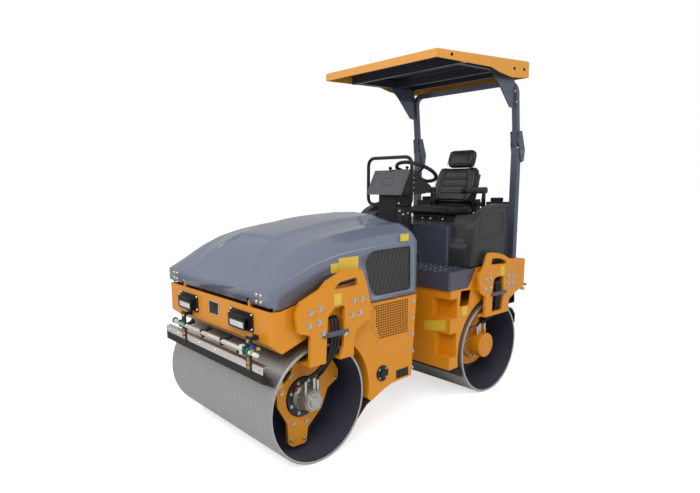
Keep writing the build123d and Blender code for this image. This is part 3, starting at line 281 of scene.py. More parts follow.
def makeCanopyPaint():
    # orange sheet and skirt, dark ceiling and bars inside the skirt
    material, tree, shader = startMaterial("canopyPaint")
    spot = split(tree, surface(tree))
    inside = calculate(tree, "LESS_THAN", split(tree, surface(tree, "Normal"))["Z"], 0.5)
    for source, operation, limit in (
        (calculate(tree, "ABSOLUTE", spot["Y"]), "LESS_THAN", "halfInside"), (spot["X"], "LESS_THAN", "frontInside"),
        (spot["X"], "GREATER_THAN", "rearInside"),
    ):
        inside = calculate(tree, "MULTIPLY", inside, calculate(tree, operation, source, canopyFinish[limit]))
    top = toned(tree, canopyFinish["top"], 2.0, 0.1, 0.03)["Color"]
    under = toned(tree, canopyFinish["under"], 2.0, 0.25, 0.0)["Color"]
    fill(tree, shader, {"Base Color": mixColor(tree, inside, top, under), "Normal": grained(tree, 260.0, 0.05),
                        "Roughness": 0.38})
    return material


def makeLens():
    # moulded lamp lens: pale ribs over a silvery bowl
    material, tree, shader = startMaterial("lampLens")
    ribs = addNode(tree, "TexWave", {"Scale": 28.0, "Distortion": 0.4, "Vector": surface(tree)},
                   bands_direction="Y").outputs["Fac"]
    fill(tree, shader, {"Base Color": mixColor(tree, ribs, (0.42, 0.43, 0.45, 1), (0.80, 0.80, 0.79, 1)),
                        "Normal": bumped(tree, ribs, 0.4, 0.002), "Roughness": 0.12, "Coat Weight": 0.8})
    return material


motorFinish = {"disc": (0.022, 0.022, 0.023), "cast": (0.43, 0.43, 0.41), "discFace": 0.4506}


def makeMotorFinish():
    # black flange disc close to the plate, bare cast body outside it
    material, tree, shader = startMaterial("motorCasting")
    fromMiddle = calculate(tree, "ABSOLUTE", split(tree, surface(tree))["Y"])
    body = calculate(tree, "GREATER_THAN", fromMiddle, motorFinish["discFace"])
    disc = toned(tree, motorFinish["disc"], 6.0, 0.3, 0.02)["Color"]
    cast = toned(tree, motorFinish["cast"], 9.0, 0.35, 0.0)["Color"]
    fill(tree, shader, {"Base Color": mixColor(tree, body, disc, cast), "Normal": grained(tree, 420.0, 0.25),
                        "Metallic": calculate(tree, "MULTIPLY", body, 0.75), "Roughness": 0.42})
    return material


materials["motorCasting"] = makeMotorFinish()
materials["drumSteelFront"] = makeDrumSteel("drumSteelFront", drumFinish["axleX"])
materials["drumSteelRear"] = makeDrumSteel("drumSteelRear", -drumFinish["axleX"])
materials["seatVinyl"] = makeVinyl()
materials["canopyPaint"] = makeCanopyPaint()
materials["lampLens"] = makeLens()

slotFinish = {"orange_paint": "orangePaint", "grey_paint": "greyPaint", "drum_steel": "drumSteelFront",
              "black_metal": "blackPaint", "steel": "boltSteel", "engine_iron": "engineIron",
              "black_plastic": "blackPlastic", "grey_plastic": "greyPlastic", "seat_vinyl": "seatVinyl",
              "scraper_rubber": "flapRubber", "hose_rubber": "hoseRubber", "orange_canopy": "canopyPaint"}
nodeFinish = {"rear_drum": "drumSteelRear", "step_platform": "deckPaint", "seat_base": "deckPaint",
              "front_motor_left": "motorCasting", "front_motor_right": "motorCasting"}
for nodeName, nodeObject in nodes.items():
    for holder in nodeObject.material_slots:
        finish = nodeFinish.get(nodeName) or slotFinish.get(holder.material.name.split(".")[0], "greyPaint")
        holder.material = materials[finish]
print("stage: finishes made and given to the CAD nodes")

studio = {
    "floorSize": 90.0, "floorColor": (0.80, 0.80, 0.80, 1), "floorGlow": 0.63, "worldGrey": 0.48, "lampSize": 4.0,
    # place, aim, power
    "lamps": {"keyLight": ((4.5, 3.5, 6.0), (0.2, 0.3, 0.8), 300.0),
              "fillLight": ((5.0, -4.5, 4.5), (0.2, 0, 0.8), 110.0),
              "sideLight": ((-3.5, 6.5, 4.0), (-0.3, 0.3, 0.9), 110.0)},
}


def newObject(name, bm):
    mesh = bpy.data.meshes.new(name)
    bm.to_mesh(mesh)
    bm.free()
    made = bpy.data.objects.new(name, mesh)
    scene.collection.objects.link(made)
    return made


def makeStudio():
    # a pale world, white to the camera; a floor with a glow that only the camera sees; three lamps
    white = (1, 1, 1, 1)
    world = bpy.data.worlds.new("paleStudio")
    world.use_nodes = True
    scene.world = world
    tree = world.node_tree
    path = addNode(tree, "LightPath").outputs
    seen = calculate(tree, "MAXIMUM", path["Is Camera Ray"], path["Is Transmission Ray"])
    fill(tree, tree.nodes["Background"], {"Strength": mapRange(tree, seen, studio["worldGrey"], 1.0), "Color": white})
    bm = bmesh.new()
    bmesh.ops.create_grid(bm, x_segments=1, y_segments=1, size=studio["floorSize"] / 2)
    floor = newObject("studioFloor", bm)
    material, tree, shader = startMaterial("paleFloor")
    seen = addNode(tree, "LightPath").outputs["Is Camera Ray"]
    fill(tree, shader, {"Base Color": studio["floorColor"], "Roughness": 0.9, "Emission Color": white,
                        "Emission Strength": calculate(tree, "MULTIPLY", seen, studio["floorGlow"])})
    floor.data.materials.append(material)
    for name, (place, aim, power) in studio["lamps"].items():
        lamp = bpy.data.lights.new(name, "AREA")
        lamp.energy = power
        lamp.size = studio["lampSize"]
        holder = bpy.data.objects.new(name, lamp)
        holder.location = place
        holder.rotation_euler = (Vector(aim) - Vector(place)).to_track_quat("-Z", "Y").to_euler()
        scene.collection.objects.link(holder)
    scene.view_settings.view_transform = "Standard"


makeStudio()
print("stage: studio made")


# helpers for the pieces; sizes are in millimetres and a finished mesh is in metres
def dress(piece, body, material, replaces=()):
    piece.data.materials.append(materials[material])
    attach(piece, body)
    if replaces:
        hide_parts(*replaces)
    return piece


def finishPiece(name, bm, body, slotName, material, smoothAngle=35, replaces=()):
    bmesh.ops.remove_doubles(bm, verts=bm.verts[:], dist=0.01)
    bmesh.ops.recalc_face_normals(bm, faces=bm.faces[:])
    bmesh.ops.scale(bm, vec=(mm, mm, mm), verts=bm.verts[:])
    piece = newObject(name, bm)
    piece.data.shade_smooth()
    piece.data.set_sharp_from_angle(angle=radians(smoothAngle))
    return dress(piece, body, material, replaces)


def evaluatedCopy(piece):
    return piece.evaluated_get(bpy.context.evaluated_depsgraph_get())


def bakeModifiers(piece):
    bpy.context.view_layer.update()
    mesh = bpy.data.meshes.new_from_object(evaluatedCopy(piece))
    piece.modifiers.clear()
    piece.data = mesh


def addCone(bm, place, axis, low, high, length, sides=24):
    # a cone or cylinder that starts at place and runs along axis
    turn = Vector((0, 0, 1)).rotation_difference(Vector(axis).normalized()).to_matrix().to_4x4()
    spot = Matrix.Translation(Vector(place)) @ turn @ Matrix.Translation((0, 0, length / 2))
    bmesh.ops.create_cone(bm, cap_ends=True, segments=sides, radius1=low, radius2=high, depth=length, matrix=spot)


def bevelEdges(bm, edges, bevel, segments):
    bmesh.ops.bevel(bm, geom=edges, offset=bevel, offset_type="OFFSET", affect="EDGES", segments=segments,
                    profile=0.5, material=-1)


def addBlock(bm, low, high, bevel=0.0, segments=2):
    # a block between two opposite corners
    verts = bmesh.ops.create_cube(bm, size=1.0)["verts"]
    bmesh.ops.scale(bm, vec=[abs(b - a) for a, b in zip(low, high)], verts=verts)
    bmesh.ops.translate(bm, vec=[(a + b) / 2 for a, b in zip(low, high)], verts=verts)
    if bevel:
        bevelEdges(bm, list({e for v in verts for e in v.link_edges}), bevel, segments)


def addBall(bm, place, radius, divisions=12, squash=(1, 1, 1)):
    verts = bmesh.ops.create_uvsphere(bm, u_segments=divisions * 2, v_segments=divisions, radius=radius)["verts"]
    bmesh.ops.scale(bm, vec=squash, verts=verts)
    bmesh.ops.translate(bm, vec=place, verts=verts)


def addBolt(bm, place, axis, size, washer=True):
    # a hexagon head of the given size across, on its washer
    base = Vector(place)
    way = Vector(axis).normalized()
    if washer:
        addCone(bm, base, way, size * 0.92, size * 0.88, size * 0.16, 20)
        base = base + way * size * 0.16
    addCone(bm, base, way, size * 0.58, size * 0.58, size * 0.42, 6)
    addCone(bm, base + way * size * 0.42, way, size * 0.58, size * 0.44, size * 0.08, 6)


def addRing(bm, spots):
    # a closed loop of edges
    verts = [bm.verts.new(spot) for spot in spots]
    return [bm.edges.new((verts[i - 1], verts[i])) for i in range(len(verts))]


def addPlate(bm, outline, base, lift, bevel=0.0, segments=2, holes=()):
    # outline and holes are flat points; base maps them into space, lift is the plate's thickness
    edges = [e for ring in (outline, *holes) for e in addRing(bm, [base(*point) for point in ring])]
    if holes:
        faces = [f for f in bmesh.ops.triangle_fill(bm, edges=edges, use_beauty=True)["geom"]
                 if isinstance(f, bmesh.types.BMFace)]
        bmesh.ops.dissolve_limit(bm, angle_limit=0.01, verts=list({v for f in faces for v in f.verts}),
                                 edges=list({e for f in faces for e in f.edges}))
        faces = list({f for e in edges if e.is_valid for f in e.link_faces})
    else:
        faces = bmesh.ops.contextual_create(bm, geom=edges)["faces"]
    grown = bmesh.ops.extrude_face_region(bm, geom=faces)["geom"]
    top = [v for v in grown if isinstance(v, bmesh.types.BMVert)]
    bmesh.ops.translate(bm, vec=lift, verts=top)
    if bevel:
        rim = [e for e in {e for v in top for e in v.link_edges}
               if all(v in top for v in e.verts) and len(e.link_faces) == 2 and e.calc_face_angle(0) > radians(30)]
        bevelEdges(bm, rim, bevel, segments)


def cornerArc(before, corner, after, radius, share, steps):
    # a short arc in place of a corner, on no more than this share of either side
    reach = min(radius, (before - corner).length * share, (after - corner).length * share)
    if reach < 0.5:
        return [corner]
    start, end = (corner + (spot - corner).normalized() * reach for spot in (before, after))
    parts = [k / steps for k in range(steps + 1)]
    return [start * (1 - t) ** 2 + corner * 2 * t * (1 - t) + end * t ** 2 for t in parts]


def roundedOutline(points, radius, steps=4):
    path = [Vector(p) for p in points]
    radii = radius if isinstance(radius, list) else [radius] * len(path)
    return [spot for i, corner in enumerate(path)
            for spot in cornerArc(path[i - 1], corner, path[(i + 1) % len(path)], radii[i], 0.45, steps)]


def smoothRun(corners, radius, steps=8, share=0.49):
    # an open route with each inner corner rounded
    path = [Vector(p) for p in corners]
    radii = radius if isinstance(radius, list) else [radius] * len(path)
    return [path[0], *(spot for i in range(1, len(path) - 1)
                       for spot in cornerArc(path[i - 1], path[i], path[i + 1], radii[i], share, steps)), path[-1]]


def addTube(bm, points, radius, sides=12, closed=False):
    # a ring carried along the points, joined by faces; used for rails, rims and beads
    rings = []
    path = [Vector(p) for p in points]
    last = len(path) - 1
    normal = None
    for i, spot in enumerate(path):
        after = path[(i + 1) % len(path)] if closed or i < last else spot
        before = path[i - 1] if closed or i > 0 else spot
        way = (after - before).normalized()
        if normal is None:
            normal = way.orthogonal().normalized()
        normal = (normal - way * normal.dot(way)).normalized()
        turn = Matrix((normal, way.cross(normal), way)).transposed().to_4x4()
        rings.append(bmesh.ops.create_circle(bm, cap_ends=False, segments=sides, radius=radius,
                                             matrix=Matrix.Translation(spot) @ turn)["verts"])
    for first, second in list(zip(rings, rings[1:])) + ([(rings[-1], rings[0])] if closed else []):
        for k in range(sides):
            bm.faces.new((first[k - 1], first[k], second[k], second[k - 1]))
    if not closed:
        bm.faces.new(rings[0])
        bm.faces.new(rings[-1])


def both(add, bm, *values):
    # a shape and its mirror image on the other side; a triple among the values is a place or a way
    for sign in (1, -1):
        add(bm, *((v[0], sign * v[1], v[2]) if isinstance(v, tuple) else v for v in values))


def around(x, z, radius, count, first=0.0):
    # evenly spaced points on a circle, from a first angle in degrees
    turns = [radians(first + 360 / count * k) for k in range(count)]
    return [(x + radius * cos(t), z + radius * sin(t)) for t in turns]


def side(y):
    return lambda px, pz: Vector((px, y, pz))


def facing(x):
    return lambda py, pz: Vector((x, py, pz))


# the hood: one smooth skin over the CAD hood's stations, with its side windows
hoodShape = {
    "halfWidth": 595, "wall": 5, "creaseDrop": 15, "fieldDrop": 15, "rear": 15, "front": 1216.5, "foot": 989,
    # x, crease height, crown height, sunk or not, half width of the sunk field
    "stations": [(15, 1252, 1420, 0, 205), (400, 1249, 1404, 0, 205), (700, 1231, 1364, 0, 195),
                 (871, 1198, 1326, 0, 182), (893, 1192, 1319, 1, 185), (1000, 1159, 1268, 1, 215),
                 (1110, 1118, 1180, 1, 252), (1216.5, 1072, 1082, 1, 280)],
    "extraStations": {871, 875, 889, 893}, "sectionRounds": [0, 14, 26, 12, 12, 14, 4, 4, 0],
    "lowerEdge": [(1190, 989), (1190, 968), (1140, 968), (1004, 994), (902, 1036), (842, 1056), (481, 1062),
                  (477, 904), (15, 904)],
    "window": [(451, 997), (495, 1160), (470, 1198), (427, 1224), (78, 1227), (70, 939), (406, 940)],
    # the notches for the hinges: their distance from the middle, half width and height
    "hingeNotches": (390, 16, 24),
}


def betweenStations(x):
    # smooth change from station to station; the sunk field starts as a crisp step
    rows = hoodShape["stations"]
    k = 0
    while k < len(rows) - 2 and x > rows[k + 1][0]:
        k += 1
    a, b = rows[k], rows[k + 1]
    before = rows[max(k - 1, 0)]
    after = rows[min(k + 2, len(rows) - 1)]
    t = (x - a[0]) / (b[0] - a[0])
    values = []
    for j in (1, 2, 4):
        slopeA = (b[j] - before[j]) / (b[0] - before[0]) * (b[0] - a[0])
        slopeB = (after[j] - a[j]) / (after[0] - a[0]) * (b[0] - a[0])
        values.append((2 * t ** 3 - 3 * t ** 2 + 1) * a[j] + (t ** 3 - 2 * t ** 2 + t) * slopeA
                      + (3 * t ** 2 - 2 * t ** 3) * b[j] + (t ** 3 - t ** 2) * slopeB)
    return values[0], values[1], a[3] + (b[3] - a[3]) * t, values[2]


def hoodSection(x):
    # half a section, from the side wall up over the crease, facet, shoulder and field
    crease, crown, sunk, panel = betweenStations(x)
    rise = crown - crease
    half = hoodShape["halfWidth"]
    drop = hoodShape["fieldDrop"] * sunk
    corners = [(half, crease - hoodShape["creaseDrop"]), (half, crease), (half * 0.92, crease + rise * 0.37),
               (half * 0.76, crease + rise * 0.65), (half * 0.61, crease + rise * 0.69),
               (panel + 60, crown - rise * 0.18), (panel, crown - rise * 0.05),
               (panel - 12, crown - rise * 0.05 - drop), (0, crown - drop)]
    return smoothRun(corners, hoodShape["sectionRounds"], 4, 0.48)


def bothHalves(section):
    return [(y, z) for y, z in section] + [(-y, z) for y, z in section[-2::-1]]


def makeHood():
    rear, front, foot, width = (hoodShape[k] for k in ("rear", "front", "foot", "halfWidth"))
    stationXs = sorted({rear + (front - rear) * k / 40 for k in range(41)} | hoodShape["extraStations"])
    sections = [hoodSection(x) for x in stationXs]
    bm = bmesh.new()
    across = 2 * len(sections[0]) - 1
    bmesh.ops.create_grid(bm, x_segments=across - 1, y_segments=len(stationXs) - 1, size=1)
    bm.verts.ensure_lookup_table()
    for row, (x, section) in enumerate(zip(stationXs, sections)):
        for column, (y, z) in enumerate(bothHalves(section)):
            bm.verts[row * across + column].co = (x, y, z)
    outline = [(x, section[0][1]) for x, section in zip(stationXs, sections)] + [(front, foot)] + hoodShape["lowerEdge"]
    window = roundedOutline(hoodShape["window"], 26)
    for y in (width, -width):
        edges = [e for ring in (outline, window) for e in addRing(bm, [(px, y, pz) for px, pz in ring])]
        bmesh.ops.triangle_fill(bm, edges=edges, use_beauty=True)
    place, half, tall = hoodShape["hingeNotches"]
    notches = [(middle + step, foot + lift) for middle in (-place, place)
               for step, lift in ((-half, 0), (-half, tall), (half, tall), (half, 0))]
    lip = bothHalves(sections[-1]) + [(-width, foot), *notches, (width, foot)]
    bmesh.ops.contextual_create(bm, geom=addRing(bm, [(front, y, z) for y, z in lip]))
    # the hood skin takes the lighter, bluer grey: painted highlight and painted reflection
    piece = finishPiece("hoodSkin", bm, "hood", "grey_paint", "hoodPaintPaintedHighlight", 30, ("hood",))
    wall = piece.modifiers.new("wall", "SOLIDIFY")
    wall.thickness = hoodShape["wall"] * mm
    wall.offset = -1
    bakeModifiers(piece)


makeHood()
print("stage: hood made")

waveGrille = {"rows": 24, "low": 930, "high": 1238, "wave": 2.6, "period": 34, "phase": 0.6, "height": 6.0,
              "depth": 2.2, "wall": 1.8, "face": 588.2, "step": 6.5, "backing": 583.2, "backingWall": 1.2,
              "outline": [(466, 1000), (508, 1164), (480, 1216), (427, 1240), (66, 1240), (58, 927), (416, 928)]}


def spanAt(outline, z):
    cuts = []
    for (xa, za), (xb, zb) in zip(outline, outline[1:] + outline[:1]):
        if (za - z) * (zb - z) < 0:
            cuts.append(xa + (xb - xa) * (z - za) / (zb - za))
    return min(cuts), max(cuts)


def makeWaveGrille():
    facts = waveGrille
    bm = bmesh.new()
    for k in range(facts["rows"]):
        z = facts["low"] + (facts["high"] - facts["low"]) * (k + 0.5) / facts["rows"]
        start, end = spanAt(facts["outline"], z)
        steps = max(2, round((end - start) / facts["step"]))
        for v in bmesh.ops.create_grid(bm, x_segments=steps, y_segments=1, size=0.5)["verts"]:
            x = start + (v.co.x + 0.5) * (end - start)
            lift = facts["wave"] * sin(2 * pi * x / facts["period"] + k * facts["phase"])
            v.co = (x, facts["face"] - (v.co.y + 0.5) * facts["depth"], z + lift + v.co.y * facts["height"])
    ribbons = bm.faces[:]
    addPlate(bm, roundedOutline(facts["outline"], 20), side(facts["backing"]), (0, facts["backingWall"], 0))
    bmesh.ops.solidify(bm, geom=ribbons, thickness=facts["wall"])
    bmesh.ops.mirror(bm, geom=bm.verts[:] + bm.edges[:] + bm.faces[:], axis="Y", merge_dist=0.0)
    finishPiece("hoodWaveGrilles", bm, "hood", "black_metal", "charcoal", 35, ("hood_grilles",))


makeWaveGrille()

handleShape = {"y": 579, "low": 1065, "high": 1175, "foot": 13, "reach": -34, "radius": 8.4, "bend": 26}


def makeHoodHandles():
    low, high, foot, reach = (handleShape[k] for k in ("low", "high", "foot", "reach"))
    bm = bmesh.new()
    for y in (handleShape["y"], -handleShape["y"]):
        corners = [(foot, y, low), (reach, y, low), (reach, y, high), (foot, y, high)]
        addTube(bm, smoothRun(corners, handleShape["bend"]), handleShape["radius"], 14)
        for z in (low, high):
            addCone(bm, (foot + 1.5, y, z), (-1, 0, 0), 13, 11, 6, 20)
    finishPiece("hoodHandleGrips", bm, "hood", "black_metal", "blackPlastic", 40, ("hood_handles",))


makeHoodHandles()
print("stage: grilles and handles made")

# bolts on frames and brackets: the face they stand on, their size and their places on it
boltPlaces = {
    "front": [
        (648, 21, [(972, 936), (902, 947), (984, 861), (914, 869), (642, 957), (575, 959), (658, 872), (592, 876),
                   (885, 800), (710, 772)]),
        (440, 17, [(1030, 421), (960, 504), (603, 413), (844, 194), (944, 205), (963, 103), (860, 90)]),
        (600, 14, [(50, 852), (50, 741), (50, 628), (50, 515), (50, 400)]),
        (603.2, 11, [(452, 868), (432, 742), (392, 636), (86, 652)]),
        (606, 8, around(341, 427, 41, 4, 45)),
    ],
    "rear": [
        (648, 21, [(-697, 909), (-761, 908), (-701, 841), (-766, 839), (-1003, 901), (-1067, 893), (-1008, 838),
                   (-1072, 833)]),
    ],
}


def makeSideBolts(name, body, slotName, finish, groups):
    bm = bmesh.new()
    for y, size, places in groups:
        for x, z in places:
            both(addBolt, bm, (x, y, z), (0, 1, 0), size)
    finishPiece(name, bm, body, slotName, finish, 30)


for end in boltPlaces:
    makeSideBolts(end + "SideBolts", end + "_frame", "steel", "boltSteel", boltPlaces[end])

# blank tags: the face they lie on, low corner, high corner; the step's tags are flat outlines on its rear
tagPlaces = {
    "hood": [(595, (553, 1126), (712, 1208)), (595, (714, 1126), (774, 1182)), (595, (98, 1262), (178, 1308))],
    "front_frame": [(650, (742, 952), (798, 1016)), (440, (1019, 446), (1059, 494))],
    "rear_frame": [(600, (-560, 664), (-498, 728)), (650, (-950, 918), (-894, 988))],
}
stepTag = {"x": -359.8, "outline": [(374, 533), (562, 570), (562, 646), (374, 610)]}


def makeTags():
    for body, places in tagPlaces.items():
        bm = bmesh.new()
        for y, low, high in places:
            both(addBlock, bm, (low[0], y + 0.1, low[1]), (high[0], y + 1.1, high[1]))
        if body == "rear_frame":
            for sign in (1, -1):
                addPlate(bm, [(sign * py, pz) for py, pz in stepTag["outline"]], facing(stepTag["x"]), (1, 0, 0))
        finishPiece(body.replace("_f", "F") + "Tags", bm, body, "orange_paint", "yellowTag")


makeTags()
print("stage: bolts and blank tags made")

# the seat: stuffed pads, swollen by a short cloth simulation, then sewn; start is where the pad's
# middle lies along its run, ends how much narrower it gets towards its far and near end
backrestLine = {"origin": (-1228, 0, 1424), "lean": 17}
seatPads = {
    "cushionPad": {"node": "seat_cushion", "origin": (-1020, 0, 1350.3), "lean": 0, "size": (330, 466, 66),
                   "round": 26, "swell": 9, "fill": 0.75, "start": 0, "ends": (0.07, 0.10)},
    "backrestPad": {"node": "seat_backrest", **backrestLine, "size": (330, 434, 78), "round": 30, "swell": 8,
                    "fill": 0.75, "start": 152.5, "ends": (0.20, 0.05)},
    "headrestPad": {"node": "seat_headrest", **backrestLine, "size": (158, 256, 82), "round": 26, "swell": 8,
                    "fill": 0.8, "start": 390.3, "ends": (0.09, 0.09)},
}
clothFacts = {"uniform_pressure_force": 4.0, "quality": 5, "mass": 0.3, "tension_stiffness": 40, "bending_stiffness": 8}
padMesh = {"frames": 20, "voxel": 0.0085, "inset": 0.45}


def swellPad(piece, swell):
    # a closed pad under air pressure; every point may move as far as the cap
    start = [v.co.copy() for v in piece.data.vertices]
    cloth = piece.modifiers.new("swell", "CLOTH")
    cloth.settings.use_pressure = True
    for name, value in clothFacts.items():
        setattr(cloth.settings, name, value)
    cloth.settings.effector_weights.gravity = 0.0
    cloth.collision_settings.use_collision = False
    cloth.point_cache.frame_start = 1
    cloth.point_cache.frame_end = padMesh["frames"]
    for frameNumber in range(1, padMesh["frames"] + 1):
        scene.frame_set(frameNumber)
    moved = [v.co.copy() for v in evaluatedCopy(piece).data.vertices]
    piece.modifiers.clear()
    scene.frame_set(1)
    for v, old, new in zip(piece.data.vertices, start, moved):
        shift = new - old
        if shift.length > swell * mm:
            shift = shift.normalized() * swell * mm
        v.co = old + shift


def makeStuffedMesh(name, size, rounding, swell):
    # local frame: X is the run of the pad, Y across, Z out of its face; all in metres
    bm = bmesh.new()
    low = Vector((-size[0] / 2, -size[1] / 2, 0)) * mm
    high = Vector((size[0] / 2, size[1] / 2, size[2])) * mm
    inset = Vector((swell * padMesh["inset"] * mm,) * 3)
    addBlock(bm, low + inset, high - inset, rounding * mm, 5)
    piece = newObject(name, bm)
    remesh = piece.modifiers.new("evenMesh", "REMESH")
    remesh.mode = "VOXEL"
    remesh.voxel_size = padMesh["voxel"]
    bakeModifiers(piece)
    swellPad(piece, swell)
    finer = piece.modifiers.new("finer", "SUBSURF")
    finer.levels = finer.render_levels = 1
    bakeModifiers(piece)
    piece.data.shade_smooth()
    return piece


def groove(distance, width, depth):
    return -depth * exp(-(distance / width) ** 2)


def sewCushion(u, v, half):
    # u to the front, v across: a border seam and a soft dip for the sitter
    border = min(half[0] - abs(u), half[1] - abs(v)) - 46
    dip = -7 * exp(-((u + 20) / 110) ** 2 - (v / 120) ** 2)
    front = 5 * exp(-((u - half[0] + 40) / 38) ** 2)
    return dip + front + groove(border, 3.2, 4.5)


def sewBackrest(u, v, half):
    # u up the back, v across: raised side bolsters and four quilted fields in a frame
    fieldHalf = 118 - 14 * (u / half[0])
    bolster = 9 * (1 / (1 + exp(-(abs(v) - fieldHalf - 14) / 9)))
    near = abs(v) < fieldHalf + 3
    edge = min(abs(abs(v) - fieldHalf) if -138 < u < 115 else 99, abs(u - 114) if near else 99,
               abs(u + 137) if near else 99)
    sewn = groove(edge, 3.4, 6.0)
    if abs(v) < fieldHalf and -135 < u < 112:
        sewn += sum(groove(u - line, 3.4, 5.5) for line in (-75, -13, 49))
        sewn += 2.5 * abs(cos(pi * (u + 13) / 62)) * (1 - (v / fieldHalf) ** 2)
    return bolster + sewn


def sewHeadrest(u, v, half):
    border = min(half[0] - abs(u), half[1] - abs(v)) - 22
    return 2.0 * exp(-(u / 60) ** 2 - (v / 90) ** 2) + groove(border, 3.0, 3.5)


def alongPad(lean):
    # the way a pad runs and the way out of its face, by its lean from upright
    lean = radians(lean)
    return Vector((-sin(lean), 0, cos(lean))), Vector((cos(lean), 0, sin(lean)))


def placePad(name, sew):
    facts = seatPads[name]
    piece = makeStuffedMesh(name, facts["size"], facts["round"], facts["swell"])
    half = (facts["size"][0] / 2, facts["size"][1] / 2)
    origin = Vector(facts["origin"])
    run, out = alongPad(facts["lean"]) if facts["lean"] else (Vector((1, 0, 0)), Vector((0, 0, 1)))
    far, near = facts["ends"]
    for vert in piece.data.vertices:
        u, v, w = (c / mm for c in vert.co)
        top = max(0.0, min(1.0, (w - facts["size"][2] * 0.55) / (facts["size"][2] * 0.3)))
        w += sew(u, v, half) * top
        t = u / half[0]
        v *= 1 - far * max(t, 0) ** 2 - near * max(-t, 0) ** 2
        vert.co = (origin + run * (u + facts["start"]) + Vector((0, 1, 0)) * v + out * w) * mm
    bm = bmesh.new()
    bm.from_mesh(piece.data)
    bmesh.ops.recalc_face_normals(bm, faces=bm.faces[:])
    bm.to_mesh(piece.data)
    bm.free()
    piece.data.materials.clear()
    dress(piece, "rear_frame", "seatVinyl", (facts["node"],))


placePad("cushionPad", sewCushion)
placePad("backrestPad", sewBackrest)
placePad("headrestPad", sewHeadrest)
print("stage: seat pads made")

armrestShape = {"y": 262, "half": 32, "front": -956, "rear": -1258, "low": 1517, "high": 1572, "round": 17,
                "slopeStart": -1010, "slopeBelow": 1550, "slope": 0.25, "fill": 0.9,
                "arm": [(-1225, 1531), (-1258, 1531), (-1262, 1412), (-1238, 1398), (-1205, 1412)]}


def makeArmrests():
    facts = armrestShape
    y, half = facts["y"], facts["half"]
    pads, arms = bmesh.new(), bmesh.new()
    both(addBlock, pads, (facts["rear"], y - half, facts["low"]), (facts["front"], y + half, facts["high"]),
         facts["round"], 4)
    both(addCone, arms, (-1238, 226, 1430), (0, 1, 0), 16, 16, 40, 20)
    for face in (y, -y):
        addPlate(arms, roundedOutline(facts["arm"], 12), side(face - 6), (0, 12, 0), 2)
    bmesh.ops.recalc_face_normals(pads, faces=pads.faces[:])
    for v in pads.verts:
        if v.co.x > facts["slopeStart"] and v.co.z < facts["slopeBelow"]:
            v.co.z += (v.co.x - facts["slopeStart"]) * facts["slope"]
    piece = finishPiece("armrestPads", pads, "rear_frame", "seat_vinyl", "seatVinyl", 60, ("seat_armrests",))
    finishPiece("armrestArms", arms, "rear_frame", "black_plastic", "blackPlastic")


makeArmrests()

seatTrim = {
    # piping on a pad's edge: from, to, half width, how much narrower at the far end; all along the backrest
    "piping": ((0, 305, 210, 0.19), (325, 452, 122, 0.06)), "pipingOut": 66, "pipe": 2.2,
    "cushionPiping": [(-1180, 226, 1400), (-868, 228, 1400), (-866, -228, 1400), (-1180, -226, 1400)],
    # the bellows under the cushion: low corner, high corner, folds and their spacing
    "bellows": ((-1150, -190, 1304), (-900, 190, 1310), 4, 9),
    "bolts": (-60, 20, 140),
}


def makeSeatTrim():
    bm = bmesh.new()
    run, out = alongPad(backrestLine["lean"])
    base = Vector(backrestLine["origin"]) + out * seatTrim["pipingOut"]
    for sign in (1, -1):
        for low, high, half, narrowing in seatTrim["piping"]:
            spots = []
            for t in (k / 12 for k in range(13)):
                taper = 1 - narrowing * max(0, 2 * t - 1) ** 2
                spots.append(base + run * (low + (high - low) * t) + Vector((0, sign * half * taper, 0)))
            addTube(bm, spots, seatTrim["pipe"], 6)
    addTube(bm, smoothRun(seatTrim["cushionPiping"], 40), seatTrim["pipe"], 6)
    low, high, folds, spacing = seatTrim["bellows"]
    for k in range(folds):
        step = Vector((0, 0, k * spacing))
        addBlock(bm, Vector(low) + step, Vector(high) + step, 2.5)
    finishPiece("seatPiping", bm, "rear_frame", "black_plastic", "blackPlastic", 50)
    bm = bmesh.new()
    for y in seatTrim["bolts"]:
        addBolt(bm, (-858, y, 1322), (1, 0, 0), 9)
    addCone(bm, (-862, 110, 1342), (1, 0, 0), 6, 6, 10, 16)
    finishPiece("seatBolts", bm, "rear_frame", "steel", "boltSteel", 30)


makeSeatTrim()
print("stage: armrests and seat trim made")


def makeSeatHinge():
    # the cover between cushion and backrest, with a cheek and a cap at either side
    bm = bmesh.new()
    addBlock(bm, (-1262, -168, 1380), (-1196, 168, 1452), 8, 3)
    both(addBlock, bm, (-1290, 191, 1362), (-1190, 201, 1470), 3)
    both(addCone, bm, (-1240, 201, 1424), (0, 1, 0), 15, 13, 8, 20)
    finishPiece("seatHingeCover", bm, "rear_frame", "black_plastic", "blackPlastic", 40)


makeSeatHinge()

wheelShape = {
    "centre": (-690, 0, 1705), "radius": 162, "rim": 14.6, "tilt": 28, "spokes": (90, 210, 330),
    # hub and column: start along the axis, low radius, high radius, length, sides
    "column": ((-34, 40, 34, 26, 32), (-8, 34, 22, 8, 32), (-160, 16, 16, 128, 24), (-120, 27, 21, 60, 24)),
}


def makeSteeringWheel():
    tilt = radians(wheelShape["tilt"])
    axis = Vector((-sin(tilt), 0, cos(tilt)))
    across = Vector((0, 1, 0))
    up = axis.cross(across)
    centre = Vector(wheelShape["centre"])
    bm = bmesh.new()
    rim = [centre + across * y + up * z for y, z in around(0, 0, wheelShape["radius"], 72)]
    addTube(bm, rim, wheelShape["rim"], 16, closed=True)
    for angle in wheelShape["spokes"]:
        way = across * cos(radians(angle)) + up * sin(radians(angle))
        inner, outer = centre - axis * 18 + way * 26, centre + way * (wheelShape["radius"] - 4)
        addTube(bm, [inner, inner.lerp(outer, 0.6) - axis * 4, outer], 8.5, 10)
    for start, low, high, length, sides in wheelShape["column"]:
        addCone(bm, centre + axis * start, axis, low, high, length, sides)
    finishPiece("steeringWheelRim", bm, "steering_wheel", "black_plastic", "blackPlastic", 40, ("steering_wheel",))


makeSteeringWheel()

